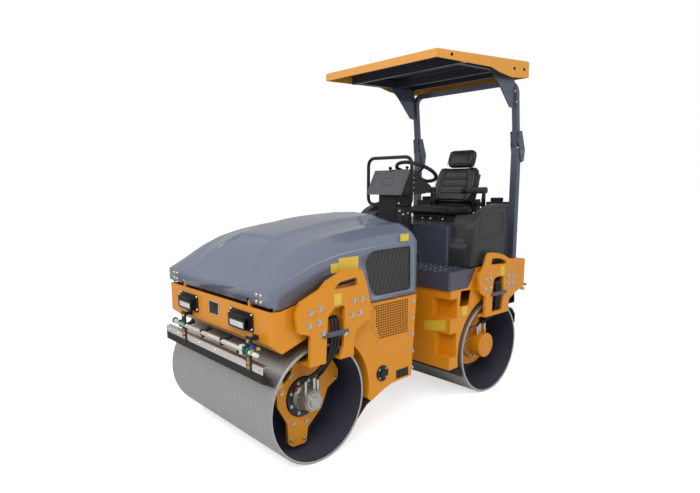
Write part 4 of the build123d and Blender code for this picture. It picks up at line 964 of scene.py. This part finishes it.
railShape = {"x": -372, "foot": 95.3, "half": 220, "low": 1455, "high": 1815, "bend": 70, "radius": 13}


def makeGuardRail():
    x, foot, half, low, high = (railShape[k] for k in ("x", "foot", "half", "low", "high"))
    bm = bmesh.new()
    corners = [(x, foot, low), (x, half, low), (x, half, high), (x, -half, high), (x, -half, low), (x, -foot, low)]
    addTube(bm, smoothRun(corners, railShape["bend"], 12), railShape["radius"], 18)
    both(addCone, bm, (x, foot + 0.7, low), (0, 1, 0), 20, 18, 7, 20)
    finishPiece("guardRailTube", bm, "rear_frame", "black_metal", "blackPaint", 40, ("guard_rail",))


makeGuardRail()

dashShape = {
    # the sloping cover's lower and upper edge in x and z, and the bare badge on it
    "coverLow": (-300, 1535), "coverHigh": (-400, 1720), "badge": (62, 34), "badgeUp": 10,
    # beads on the cover: distance up the slope, distance from the middle
    "beads": ((14, 158), (70, 152), (140, 146), (196, 140)),
    "side": 165, "louvres": 9, "knobs": ((-448, 1698), (-450, 1660), (-454, 1624), (-451, 1585), (-452, 1548)),
    # levers: x, y, z, size of the ball
    "levers": ((-383, 0, 1718, 15), (-470, 92, 1722, 13)), "dials": (-90, 0, 90),
    "boards": (((-352, 104, 1180), (-344, 128, 1440), 2), ((-420, 96, 1120), (-360, 118, 1470), 3),
               ((-470, 96, 1120), (-430, 112, 1400), 3)),
    "paleBalls": ((-336, 130, 1471), (-344, 132, 1414), (-397, 122, 1385), (-455, 118, 1392)),
}


def makeDashDetails():
    lowX, lowZ = dashShape["coverLow"]
    highX, highZ = dashShape["coverHigh"]
    slope = Vector((highX - lowX, 0, highZ - lowZ)).normalized()
    out = Vector((slope.z, 0, -slope.x))
    middle = Vector(((lowX + highX) / 2, 0, (lowZ + highZ) / 2)) + slope * dashShape["badgeUp"] + out
    wide, tall = dashShape["badge"]
    badge, black, pale = bmesh.new(), bmesh.new(), bmesh.new()
    addTube(badge, [middle + Vector((0, 1, 0)) * wide * y + slope * tall * z for y, z in around(0, 0, 1, 40)], 1.6, 6,
            closed=True)
    for sign in (1, -1):
        addTube(badge, [Vector((lowX, 0, lowZ)) + slope * s + out * 0.5 + Vector((0, sign * y, 0))
                        for s, y in dashShape["beads"]], 1.5, 6)
        for k in range(dashShape["louvres"]):
            start = Vector((-352 - k * 7, sign * (dashShape["side"] + 0.4), 1605 + k * 12))
            addTube(black, [start, start + Vector((-34, 0, 8))], 2.4, 6)
    for x, z in dashShape["knobs"]:
        both(addCone, black, (x, dashShape["side"], z), (0, 1, 0), 8, 7, 7, 16)
        both(addCone, pale, (x, dashShape["side"] + 6.5, z), (0, 1, 0), 5.5, 4.5, 3, 14)
    for x, y, z, ball in dashShape["levers"]:
        addCone(black, (x, y, z - 3), (0, 0, 1), 7, 7, 14, 16)
        addBall(black, (x, y, z + 17), ball, 8, (1, 1, 0.8))
    for y in dashShape["dials"]:
        addCone(black, (-540, y, 1720.2), (0, 0, 1), 34, 31, 5, 28)
        addCone(pale, (-540, y, 1725), (0, 0, 1), 27, 27, 1.2, 28)
    for low, high, bevel in dashShape["boards"]:
        addBlock(black, low, high, bevel)
    for spot in dashShape["paleBalls"]:
        addBall(pale, spot, 7, 8)
    finishPiece("dashBlankBadge", badge, "rear_frame", "grey_plastic", "greyPlastic", 60)
    finishPiece("dashControls", black, "rear_frame", "black_plastic", "blackPlastic", 40)
    finishPiece("dashPaleKnobs", pale, "rear_frame", "steel", "whiteFitting", 40)


makeDashDetails()
print("stage: dashboard, wheel and rail made")

# the front axle's place in x, the rear one's behind the middle, and both axles' height
axleX, axleZ = 870, 360

# rear brackets as the photograph shows them: face plate, spacers, ledge and ring plate
rearBracket = {
    "face": [(-732, 1107), (-841, 1097), (-952, 1068), (-1010, 1036), (-1062, 1027), (-1139, 1024), (-1113, 753),
             (-1035, 721), (-1024, 622), (-716, 622), (-715, 779), (-649, 814), (-620, 937), (-687, 1008)],
    "rounds": [22, 40, 40, 30, 12, 12, 12, 14, 3, 3, 16, 20, 30, 20],
    "opening": [(-940, 650), (-950, 791), (-945, 912), (-864, 914), (-815, 902), (-803, 833), (-804, 689), (-800, 650)],
    "openingRounds": [2, 20, 26, 30, 26, 20, 10, 2],
    "slot": [(-782, 1060), (-889, 1052), (-964, 1026), (-984, 1006), (-957, 1001), (-773, 1013)],
    "slotRounds": [16, 40, 20, 8, 12, 10],
    # the ring plate's outline from the axle forward and its height; its bore
    "ring": [(115, 636), (78, 588), (84, 526), (128, 482), (195, 451), (195, 340), (150, 225), (60, 183), (-60, 183),
             (-152, 232), (-204, 366), (-286, 405), (-294, 462), (-254, 526), (-176, 622), (-176, 636)],
    "bore": 128, "spacers": (-1037, -732), "spacer": [(-70, 820), (70, 820), (70, 965), (-70, 965)],
    "ledge": [(-985, 420), (-1046, 420), (-1046, 612), (-1019, 612), (-1019, 630), (-944, 630), (-944, 590),
              (-796, 590), (-796, 630), (-721, 630), (-721, 612), (-694, 612), (-694, 420)],
}


def makeRearBrackets():
    outline = roundedOutline(rearBracket["face"], rearBracket["rounds"])
    opening = roundedOutline(rearBracket["opening"], rearBracket["openingRounds"])
    slotRing = roundedOutline(rearBracket["slot"], rearBracket["slotRounds"])
    ring = roundedOutline([(-axleX - px, pz) for px, pz in rearBracket["ring"]], 20)
    for sign, label in ((1, "left"), (-1, "right")):
        bm, backing = bmesh.new(), bmesh.new()
        addPlate(bm, outline, side(sign * 630), (0, sign * 20, 0), 1.6, holes=(opening, slotRing))
        addPlate(bm, ring, side(sign * 420), (0, sign * 20, 0), 1.5,
                 holes=(around(-axleX, axleZ, rearBracket["bore"], 48),))
        for x in rearBracket["spacers"]:
            spacer = roundedOutline([(x + px, pz) for px, pz in rearBracket["spacer"]], 22)
            addPlate(bm, spacer, side(sign * 600.3), (0, sign * 29.7, 0))
        addPlate(bm, [(px, sign * py) for px, py in rearBracket["ledge"]], lambda px, py: Vector((px, py, 622)),
                 (0, 0, 18), 1.2)
        addBlock(backing, (-952, sign * 603, 700), (-800, sign * 606, 914))
        finishPiece("rearHoseBacking" + label.title(), backing, "rear_frame", "black_metal", "blackPaint", 30)
        finishPiece("rearBracket" + label.title(), bm, "rear_frame", "orange_paint", "orangePaint", 30,
                    ("rear_bracket_" + label,))


makeRearBrackets()

# fenders: moulded plastic with rounded edges, a step at the foot and raised beads
fenderShape = {
    "foot": [(-600, 998.5), (-590, 1150), (-626, 1190), (-640, 1330), (-664, 1372), (-1075, 1372), (-1075, 998.5)],
    "footRounds": [4, 26, 30, 40, 20, 4, 4],
    "panel": [(-592, 1008), (-604, 1080), (-622, 1325), (-700, 1392), (-842, 1440), (-940, 1456), (-1072, 1448),
              (-1072, 1008)],
    "panelRounds": [4, 60, 60, 60, 80, 60, 10, 4],
    "pocket": [(-694, 1222), (-700, 1330), (-748, 1364), (-852, 1396), (-965, 1396), (-996, 1366), (-1000, 1238)],
    "pocketRounds": [20, 40, 50, 40, 40, 30, 20],
    "line": [(-640, 1160), (-760, 1204), (-1004, 1222)],
}


def scaled(outline, centre, share):
    return [centre + (Vector(p) - centre) * share for p in outline]


def makeFenders():
    panel = roundedOutline(fenderShape["panel"], fenderShape["panelRounds"], 3)
    foot = roundedOutline(fenderShape["foot"], fenderShape["footRounds"], 2)
    inner = scaled(panel, Vector((-850, 1215)), 0.93)
    pocket = roundedOutline(fenderShape["pocket"], fenderShape["pocketRounds"], 5)
    for sign, label in ((1, "left"), (-1, "right")):
        bm = bmesh.new()
        addPlate(bm, foot, side(sign * 405.5), (0, sign * 140, 0), 4, 3)
        addPlate(bm, panel, side(sign * 520), (0, sign * 72, 0), 4, 3)
        for outline, radius in ((inner, 7.5), (pocket, 6.5)):
            addTube(bm, [(px, sign * 591, pz) for px, pz in outline], radius, 8, closed=True)
        addTube(bm, smoothRun([(px, sign * 592, pz) for px, pz in fenderShape["line"]], 40, 5), 5, 8)
        finishPiece("fenderShell" + label.title(), bm, "rear_frame", "black_plastic", "charcoal", 38,
                    ("fender_" + label,))


makeFenders()
print("stage: rear brackets and fenders made")

# motors: bolt rings, ribs and covers on the CAD bodies
motorDress = {
    "front": {
        "x": axleX, "look": ("frontMotorCastings", "front_frame", "steel", "castMetal", 38),
        # discs: distance from the middle, low radius, high radius, length, sides
        "discs": ((452, 82, 70, 16, 40), (540, 57, 54, 9, 40), (549, 34, 31, 8, 32)),
        # rings of bolts: distance from the middle, radius, count, first angle, size
        "boltRings": ((450, 102, 8, 22.5, 13), (549, 46, 6, 15, 8)), "beads": (),
    },
    "rear": {
        "x": -axleX, "look": ("rearMotorCovers", "rear_frame", "orange_paint", "orangePaint", 38),
        "discs": ((565, 92, 88, 5, 56), (570, 16, 13, 5, 28), (452, 116, 98, 14, 48)),
        "boltRings": ((450, 110, 8, 22.5, 13), (468, 104, 12, 0, 12)),
        # beads: distance from the middle, radius, points, thickness
        "beads": ((571, 70, 60, 2.2), (571, 40, 40, 1.8)),
    },
}
# ribs on the front castings: distance from the axle and from the middle, point by point
motorRibs = {"count": 10, "rib": [(60, 452), (69, 474), (63, 536)]}
redCap = (932, 456, 422)


def makeMotorDress():
    outward = (0, 1, 0)
    for end, facts in motorDress.items():
        x = facts["x"]
        bolts, casting = bmesh.new(), bmesh.new()
        for y, *sizes in facts["discs"]:
            both(addCone, casting, (x, y, axleZ), outward, *sizes)
        for y, radius, count, first, size in facts["boltRings"]:
            for px, pz in around(x, axleZ, radius, count, first):
                both(addBolt, bolts, (px, y, pz), outward, size)
        for sign in (1, -1):
            for y, radius, count, bead in facts["beads"]:
                ring = around(x, axleZ, radius, count)
                addTube(casting, [(px, sign * y, pz) for px, pz in ring], bead, 6, closed=True)
            for px, pz in around(0, 0, 1, motorRibs["count"]) if end == "front" else ():
                spots = [(x + px * reach, sign * y, axleZ + pz * reach) for reach, y in motorRibs["rib"]]
                addTube(casting, spots, 4.5, 6)
        if end == "front":
            both(addBlock, casting, (x - 66, 470, 292), (x - 24, 536, 402), 8)
            for z in (316, 380):
                both(addBolt, bolts, (x - 45, 536, z), outward, 10)
        bmesh.ops.recalc_face_normals(casting, faces=casting.faces[:])
        name, body, *look = facts["look"]
        finishPiece(end + "MotorBolts", bolts, body, "steel", "boltSteel", 30)
        finishPiece(name, casting, body, *look)
    caps = bmesh.new()
    both(addCone, caps, redCap, (0.4, 1, 0.6), 10, 9, 14, 16)
    finishPiece("motorRedCaps", caps, "front_frame", "black_plastic", "redCap", 40)


makeMotorDress()

# hoses: where their row starts from the axle, and how far above the axle their ports lie
hoseRoutes = {"front": {"x": axleX, "shift": -80, "sense": 1, "rise": 62},
              "rear": {"x": -axleX, "shift": 14, "sense": -1, "rise": 95}}
# each hose: its step in the row, its port's distance from the axle, its port's height over the others
hoseEnds = ((-1, -52, 12), (0, -24, 28), (1, 42, 20))
hosePitch, hoseRadius = 26, 9


def makeHoses():
    for end, facts in hoseRoutes.items():
        x, sense, body = facts["x"], facts["sense"], end + "_frame"
        middle = x + sense * (facts["shift"] - 2)
        gathered = x + sense * (facts["shift"] + 19.5)
        curve = bpy.data.curves.new(end + "HoseLines", "CURVE")
        curve.dimensions = "3D"
        curve.bevel_depth = hoseRadius * mm
        curve.bevel_resolution = 3
        curve.resolution_u = 10
        fittings, clamps = bmesh.new(), bmesh.new()
        for sign in (1, -1):
            for step, portX, rise in hoseEnds:
                hoseX = middle + sense * hosePitch * step
                endX, endZ = x + sense * portX, axleZ + facts["rise"] + rise
                route = [(hoseX, 600.3, 872), (hoseX, 622, 878), (hoseX, 645, 862), (hoseX, 646, 800),
                         (hoseX, 646, 742), ((hoseX + gathered) / 2 + sense * 11 * step, 636, 672),
                         (gathered + sense * 20 * step, 600, 606), (endX * 0.6 + gathered * 0.4, 556, endZ + 92),
                         (endX, 522, endZ + 66), (endX, 520, endZ + 34), (endX, 520, endZ)]
                line = curve.splines.new("NURBS")
                line.points.add(len(route) - 1)
                for point, (px, py, pz) in zip(line.points, route):
                    point.co = (px * mm, sign * py * mm, pz * mm, 1)
                line.order_u = 3
                line.use_endpoint_u = True
                for drop, *sizes in ((-16, 12.5, 12.5, 14, 6), (-2, 10.6, 10.6, 44, 20), (42, 11.4, 10.2, 5, 20)):
                    addCone(fittings, (endX, sign * 520, endZ + drop), (0, 0, 1), *sizes)
        both(addBlock, clamps, (middle - 56, 634, 770), (middle + 56, 661.5, 801), 6, 3)
        both(addBlock, clamps, (middle - 98, 650.2, 773), (middle + 98, 660, 798), 4, 3)
        for shift in (-86, 86):
            both(addBolt, fittings, (middle + shift, 654.5, 785.5), (0, 1, 0), 10, False)
        piece = bpy.data.objects.new(end + "HoseLines", curve)
        scene.collection.objects.link(piece)
        dress(piece, body, "hoseRubber", (end + "_hoses",))
        finishPiece(end + "HoseFittings", fittings, body, "steel", "boltSteel")
        finishPiece(end + "HoseClamps", clamps, body, "grey_plastic", "greyPlastic")


makeHoses()
print("stage: motors and hoses made")

# headlamps: lens, screws and housing walls on the CAD lamps; blocks are x, y from the lamp's middle, z
lampShape = {
    "middles": (318, -318), "lens": ((1240.5, -77, 838.5), (1252, 77, 889)),
    "screws": ((-108, 924), (108, 922), (108, 838), (-108, 838)),
    "walls": (((1226, -80, 893), (1260, 80, 898), 2), ((1226, 78, 838), (1252, 86, 896), 3),
              ((1226, -78, 838), (1252, -86, 896), 3), ((1226, -82, 832), (1251, 82, 838.5), 2)),
    "tabs": (886, 842), "tab": [(-86, -11), (-86, 14), (-118, 4), (-112, -5)],
}


def makeLamps():
    lens, screws, walls = bmesh.new(), bmesh.new(), bmesh.new()
    for y in lampShape["middles"]:
        shift = Vector((0, y, 0))
        low, high = lampShape["lens"]
        addBlock(lens, shift + Vector(low), shift + Vector(high), 6, 3)
        for dy, z in lampShape["screws"]:
            addCone(screws, (1219, y + dy, z), (1, 0, 0), 9, 7, 4, 18)
            addBall(screws, (1223, y + dy, z), 5.5, 6, (0.5, 1, 1))
        for z in lampShape["tabs"]:
            addPlate(walls, [(y + dy, z + dz) for dy, dz in lampShape["tab"]], facing(1226), (9, 0, 0), 1.5)
        for low, high, bevel in lampShape["walls"]:
            addBlock(walls, shift + Vector(low), shift + Vector(high), bevel)
    finishPiece("lampLenses", lens, "front_frame", "steel", "lampLens", 45)
    finishPiece("lampScrews", screws, "front_frame", "steel", "boltSteel", 40)
    finishPiece("lampHousings", walls, "front_frame", "black_plastic", "blackPlastic", 40)


makeLamps()

# a bare plate with a bright edge between the lamps: name, outline, round, start, thickness, bevel, look
nosePlates = (
    ("noseBlankPlate", [(-56, 932), (66, 932), (62, 846), (-52, 846)], 8, 1213.2, 3, 1, "steel", "aluminium"),
    ("noseBlankField", [(-49, 926), (59, 926), (55, 852), (-45, 852)], 6, 1216.2, 1.2, 0.4, "black_metal",
     "blackPaint"),
)


def makeNosePlate():
    for name, outline, rounding, x, wall, bevel, *look in nosePlates:
        bm = bmesh.new()
        addPlate(bm, roundedOutline(outline, rounding), facing(x), (wall, 0, 0), bevel)
        finishPiece(name, bm, "front_frame", *look, 40)
    bm = bmesh.new()
    for y in (478, 520, -478, -520):
        for z in (1010, 1048):
            addBolt(bm, (1216.8, y, z), (1, 0, 0), 13)
    finishPiece("hoodLipBolts", bm, "hood", "steel", "boltSteel", 30)


makeNosePlate()

# water spray bars: the tube's x, the way its outside faces, the arms' face, the nozzles along it
sprayEnds = {"front": (1280, 1, 1269, (-258, -40, 200)), "rear": (-1407, -1, -1396, (-258, -40, 190, 370))}
sprayLooks = {"Tube": ("steel", "sprayTube"), "Clamps": ("black_plastic", "blackPlastic"),
              "Blocks": ("black_plastic", "greenFitting"), "White": ("black_plastic", "whiteFitting"),
              "Blue": ("black_plastic", "blueFitting"), "Brass": ("steel", "brassPin")}
# round parts: piece, distance outward, y, z, axis with its outward part first, low and high radius, length, sides
sprayNozzle = (("Clamps", -4.5, -13, 735, (0, 1, 0), 18.4, 18.4, 26, 24),
               ("Clamps", -10, 0, 738, (-1, 0, 0.35), 11, 13, 44, 18),
               ("Clamps", -50, 0, 752, (-1, 0, 0.35), 19, 16, 12, 10),
               ("Brass", -62, 0, 757, (-1, 0, 0.35), 5, 4, 8, 12))
sprayFittings = (("Tube", -0.3, -392, 735, (0, 1, 0), 14.3, 14.3, 826, 64),
                 ("White", 0, 486, 735, (0, 1, 0), 12, 12, 22, 20), ("Brass", 0, 508, 735, (0, 1, 0), 9, 9, 26, 6),
                 ("White", 0, 534, 735, (0, 1, 0), 14, 12, 30, 24), ("Brass", 0, 520, 738, (0, 0, 1), 8, 8, 26, 16),
                 ("Blue", 0, 520, 762, (0, 0, 1), 13.5, 12, 20, 20),
                 ("Clamps", -4, 520, 768, (0, 1, 0.1), 9, 9, 48, 16),
                 ("Brass", -4, 566, 774, (0, 1, 0.1), 12, 10, 12, 6),
                 ("White", -3, -392, 735, (0, -1, 0), 17, 17, 14, 24),
                 ("Clamps", 0, -406, 735, (0, -1, 0), 11, 11, 16, 16),
                 ("Clamps", -9, -422, 735, (0, -1, 0), 22, 20, 12, 12))
sprayArms = (460, -310)
armBolts = ((690, 12), (790, 12), (640, 14), (668, 14))


def makeSpray():
    for end, (tubeX, sense, armX, nozzles) in sprayEnds.items():
        parts = {name: bmesh.new() for name in sprayLooks}
        for shift, rows in [(0, sprayFittings)] + [(y, sprayNozzle) for y in nozzles]:
            for name, out, y, z, (wayX, wayY, wayZ), *sizes in rows:
                addCone(parts[name], (tubeX + sense * out, y + shift, z), (sense * wayX, wayY, wayZ), *sizes)
        for y in nozzles:
            addBlock(parts["Clamps"], (tubeX - 6, y - 8, 710), (tubeX + 6, y + 8, 735), 2)
        for y in sprayArms:
            for low, high in ((y - 26, y - 12), (y + 12, y + 26)):
                addBlock(parts["Blocks"], (tubeX - 14, low, 712), (tubeX + 14, high, 760), 4)
            for z, size in armBolts:
                addBolt(parts["Brass"], (armX, y, z), (sense, 0, 0), size)
        addBlock(parts["White"], (tubeX - 13.5, 404, 708), (tubeX + 13.5, 432, 764), 4)
        for name, look in sprayLooks.items():
            finishPiece(end + "Spray" + name, parts[name], end + "_frame", *look)


makeSpray()

scraperShape = {
    "face": 1259.3, "half": 588, "bolts": (-540, -415, -120, 86, 250, 560),
    "blade": [(1263, 626), (1263, 574), (1200, 544), (1188, 548), (1249, 590), (1249, 626)],
    "rearBars": ([(-1122, 622), (-1150, 622), (-1190, 604), (-1234, 549), (-1234, 486), (-1226, 486), (-1226, 545),
                  (-1186, 594), (-1149, 612), (-1122, 612)],
                 [(-362, 278.7), (-462, 278.7), (-462, 271), (-362, 271)],
                 [(-456, 274), (-541, 186), (-547, 191), (-462, 279)]),
    "rearAngle": [(-1128, 622.5), (-1150, 622.5), (-1192, 604), (-1236, 549), (-1239, 552), (-1194, 608),
                  (-1151, 627), (-1128, 627)],
}


def acrossPlate(bm, outline, half):
    # a section carried from side to side
    addPlate(bm, outline, side(half), (0, -2 * half, 0))


def makeScrapers():
    x, half = scraperShape["face"], scraperShape["half"]
    angle, bolts, blade, bar, rearAngle = (bmesh.new() for _ in range(5))
    addBlock(angle, (x, -half, 626), (x + 5, half, 668), 1.5)
    addBlock(angle, (x - 34, -half, 664), (x + 4.8, half, 668.5), 1, 1)
    for y in scraperShape["bolts"]:
        addBolt(bolts, (x + 5, y, 647), (1, 0, 0), 12, False)
    acrossPlate(blade, scraperShape["blade"], 586)
    for outline in scraperShape["rearBars"]:
        acrossPlate(bar, outline, 590)
    for y in sprayArms:
        addBlock(bar, (-1401, y - 25, 606), (-1150, y + 25, 618), 2)
        addBlock(bar, (-1401, y - 25, 606), (-1389, y + 25, 650), 2)
    acrossPlate(rearAngle, scraperShape["rearAngle"], 589)
    finishPiece("frontScraperBlade", blade, "front_frame", "scraper_rubber", "flapRubber")
    finishPiece("frontScraperAngle", angle, "front_frame", "steel", "aluminium")
    finishPiece("frontScraperBolts", bolts, "front_frame", "steel", "boltSteel", 30)
    finishPiece("rearScraperBars", bar, "rear_frame", "black_metal", "blackPaint", 35, ("rear_scrapers",))
    finishPiece("rearScraperAngle", rearAngle, "rear_frame", "steel", "aluminium")


makeScrapers()
print("stage: lamps, spray bars and scrapers made")

# side panels: mesh plate over the vent, drain plug and a bare black plate
meshPlate = {"outline": [(440, 893), (92, 893), (92, 658), (378, 640), (416, 728)], "middle": (265, 770),
             "rows": 14, "low": 658, "high": 884, "start": 110, "margin": 9, "hole": 0.37}


def meshHoles():
    # square holes on one grid, as far as the plate's sloping edge lets them
    pitch = (meshPlate["high"] - meshPlate["low"]) / meshPlate["rows"]
    r = pitch * meshPlate["hole"]
    holes = []
    for row in range(meshPlate["rows"]):
        z = meshPlate["low"] + pitch * (row + 0.5)
        x = meshPlate["start"]
        while x + pitch / 2 < spanAt(meshPlate["outline"], z)[1] - meshPlate["margin"]:
            holes.append([(x - r, z - r), (x + r, z - r), (x + r, z + r), (x - r, z + r)])
            x += pitch
    return holes


def makeSidePanels():
    outline = roundedOutline(meshPlate["outline"], 10)
    middle = Vector(meshPlate["middle"])
    holes = meshHoles()
    plates, dark, plug = bmesh.new(), bmesh.new(), bmesh.new()
    for sign in (1, -1):
        addPlate(dark, scaled(outline, middle, 0.96), side(sign * 600.2), (0, sign * 0.5, 0))
        addPlate(plates, outline, side(sign * 601.2), (0, sign * 2.2, 0), holes=holes)
        addPlate(plates, scaled(outline, middle, 1.035), side(sign * 600.1), (0, sign * 0.9, 0), holes=(outline,))
    both(addCone, plug, (341, 599, 427), (0, 1, 0), 52, 52, 7, 40)
    both(addCone, plug, (341, 606, 427), (0, 1, 0), 26, 22, 10, 8)
    both(addBlock, plug, (88, 600.1, 356), (206, 601.4, 414))
    finishPiece("sideVentPlates", plates, "front_frame", "orange_paint", "orangePaint", 30, ("side_grilles",))
    finishPiece("sideVentShade", dark, "front_frame", "black_metal", "blackPaint", 30)
    finishPiece("drainPlugs", plug, "front_frame", "black_metal", "blackPaint", 30)


makeSidePanels()

# folding roof: piece, body, slot, finish, then the face, size and places of its bolts
roofBolts = (
    ("hoopBolts", "canopy_frame", "steel", "boltSteel", [(519, 11, [(-1317, 2004), (-1235, 2228), (-1209, 2306)])]),
    ("postBolts", "rear_frame", "steel", "boltSteel", [(528, 11, [(-1345, 1845)])]),
    ("canopySkirtBolts", "canopy_frame", "black_metal", "blackPaint",
     [(545, 13, [(-370, 2477), (-1142, 2463), (-1278, 2469)])]),
)
roofLiner = {"outline": [(-220, -538), (-1343, -538), (-1343, 538), (-220, 538)], "front": (-213, 2491.5),
             "slope": 0.0299, "wall": 2}


def makeRoofDetails():
    for row in roofBolts:
        makeSideBolts(*row)
    pins = bmesh.new()
    both(addCone, pins, (-1345, 528, 1787), (0, 1, 0), 13, 12, 9, 24)
    both(addCone, pins, (-1310, 505, 1787), (1, 0, 0), 4, 4, 30, 10)
    finishPiece("foldPins", pins, "rear_frame", "steel", "brassPin", 30)
    liner = bmesh.new()
    frontX, frontZ = roofLiner["front"]
    addPlate(liner, roofLiner["outline"], lambda px, py: Vector((px, py, frontZ + (frontX - px) * roofLiner["slope"])),
             (0, 0, roofLiner["wall"]))
    finishPiece("canopyLiner", liner, "canopy_frame", "orange_canopy", "canopyUnder", 30)


makeRoofDetails()

deckTread = {"rows": 10, "columns": 26, "front": -318, "right": -560, "pitchX": 30, "pitchY": 44, "limit": 596,
             "z": 998.1, "half": 9, "width": 2.6, "rise": 1.8, "top": 0.7}
tankCap = {"x": -1290, "y": 352, "radius": 46, "ribs": 18, "foot": 1456}


def makeDeckTread():
    # rows of slanted studs, every second one turned the other way
    facts = deckTread
    bm = bmesh.new()
    for row in range(facts["rows"]):
        for column in range(facts["columns"]):
            x = facts["front"] - facts["pitchX"] * row
            y = facts["right"] + facts["pitchY"] * column + facts["pitchY"] / 2 * (row % 2)
            if abs(y) > facts["limit"]:
                continue
            turn = 1 if (row + column) % 2 else -1
            middle = Vector((x, y, facts["z"]))
            along, across = Vector((1, turn, 0)) * facts["half"], Vector((turn, -1, 0)) * facts["width"]
            corners = [middle + along, middle + across, middle - along, middle - across]
            low = [bm.verts.new(c) for c in corners]
            high = [bm.verts.new(middle + (c - middle) * facts["top"] + Vector((0, 0, facts["rise"]))) for c in corners]
            bm.faces.new(high)
            for k in range(4):
                bm.faces.new((low[k - 1], low[k], high[k], high[k - 1]))
    finishPiece("deckTread", bm, "rear_frame", "grey_paint", "deckPaint", 30)


def makeTankCapRibs():
    bm = bmesh.new()
    for x, y in around(tankCap["x"], tankCap["y"], tankCap["radius"], tankCap["ribs"]):
        both(addCone, bm, (x, y, tankCap["foot"]), (0, 0, 1), 4, 3.4, 25, 8)
    finishPiece("tankCapRibs", bm, "rear_frame", "black_plastic", "blackPlastic", 40)


makeDeckTread()
makeTankCapRibs()
print("stage: panels, roof details and deck tread made")
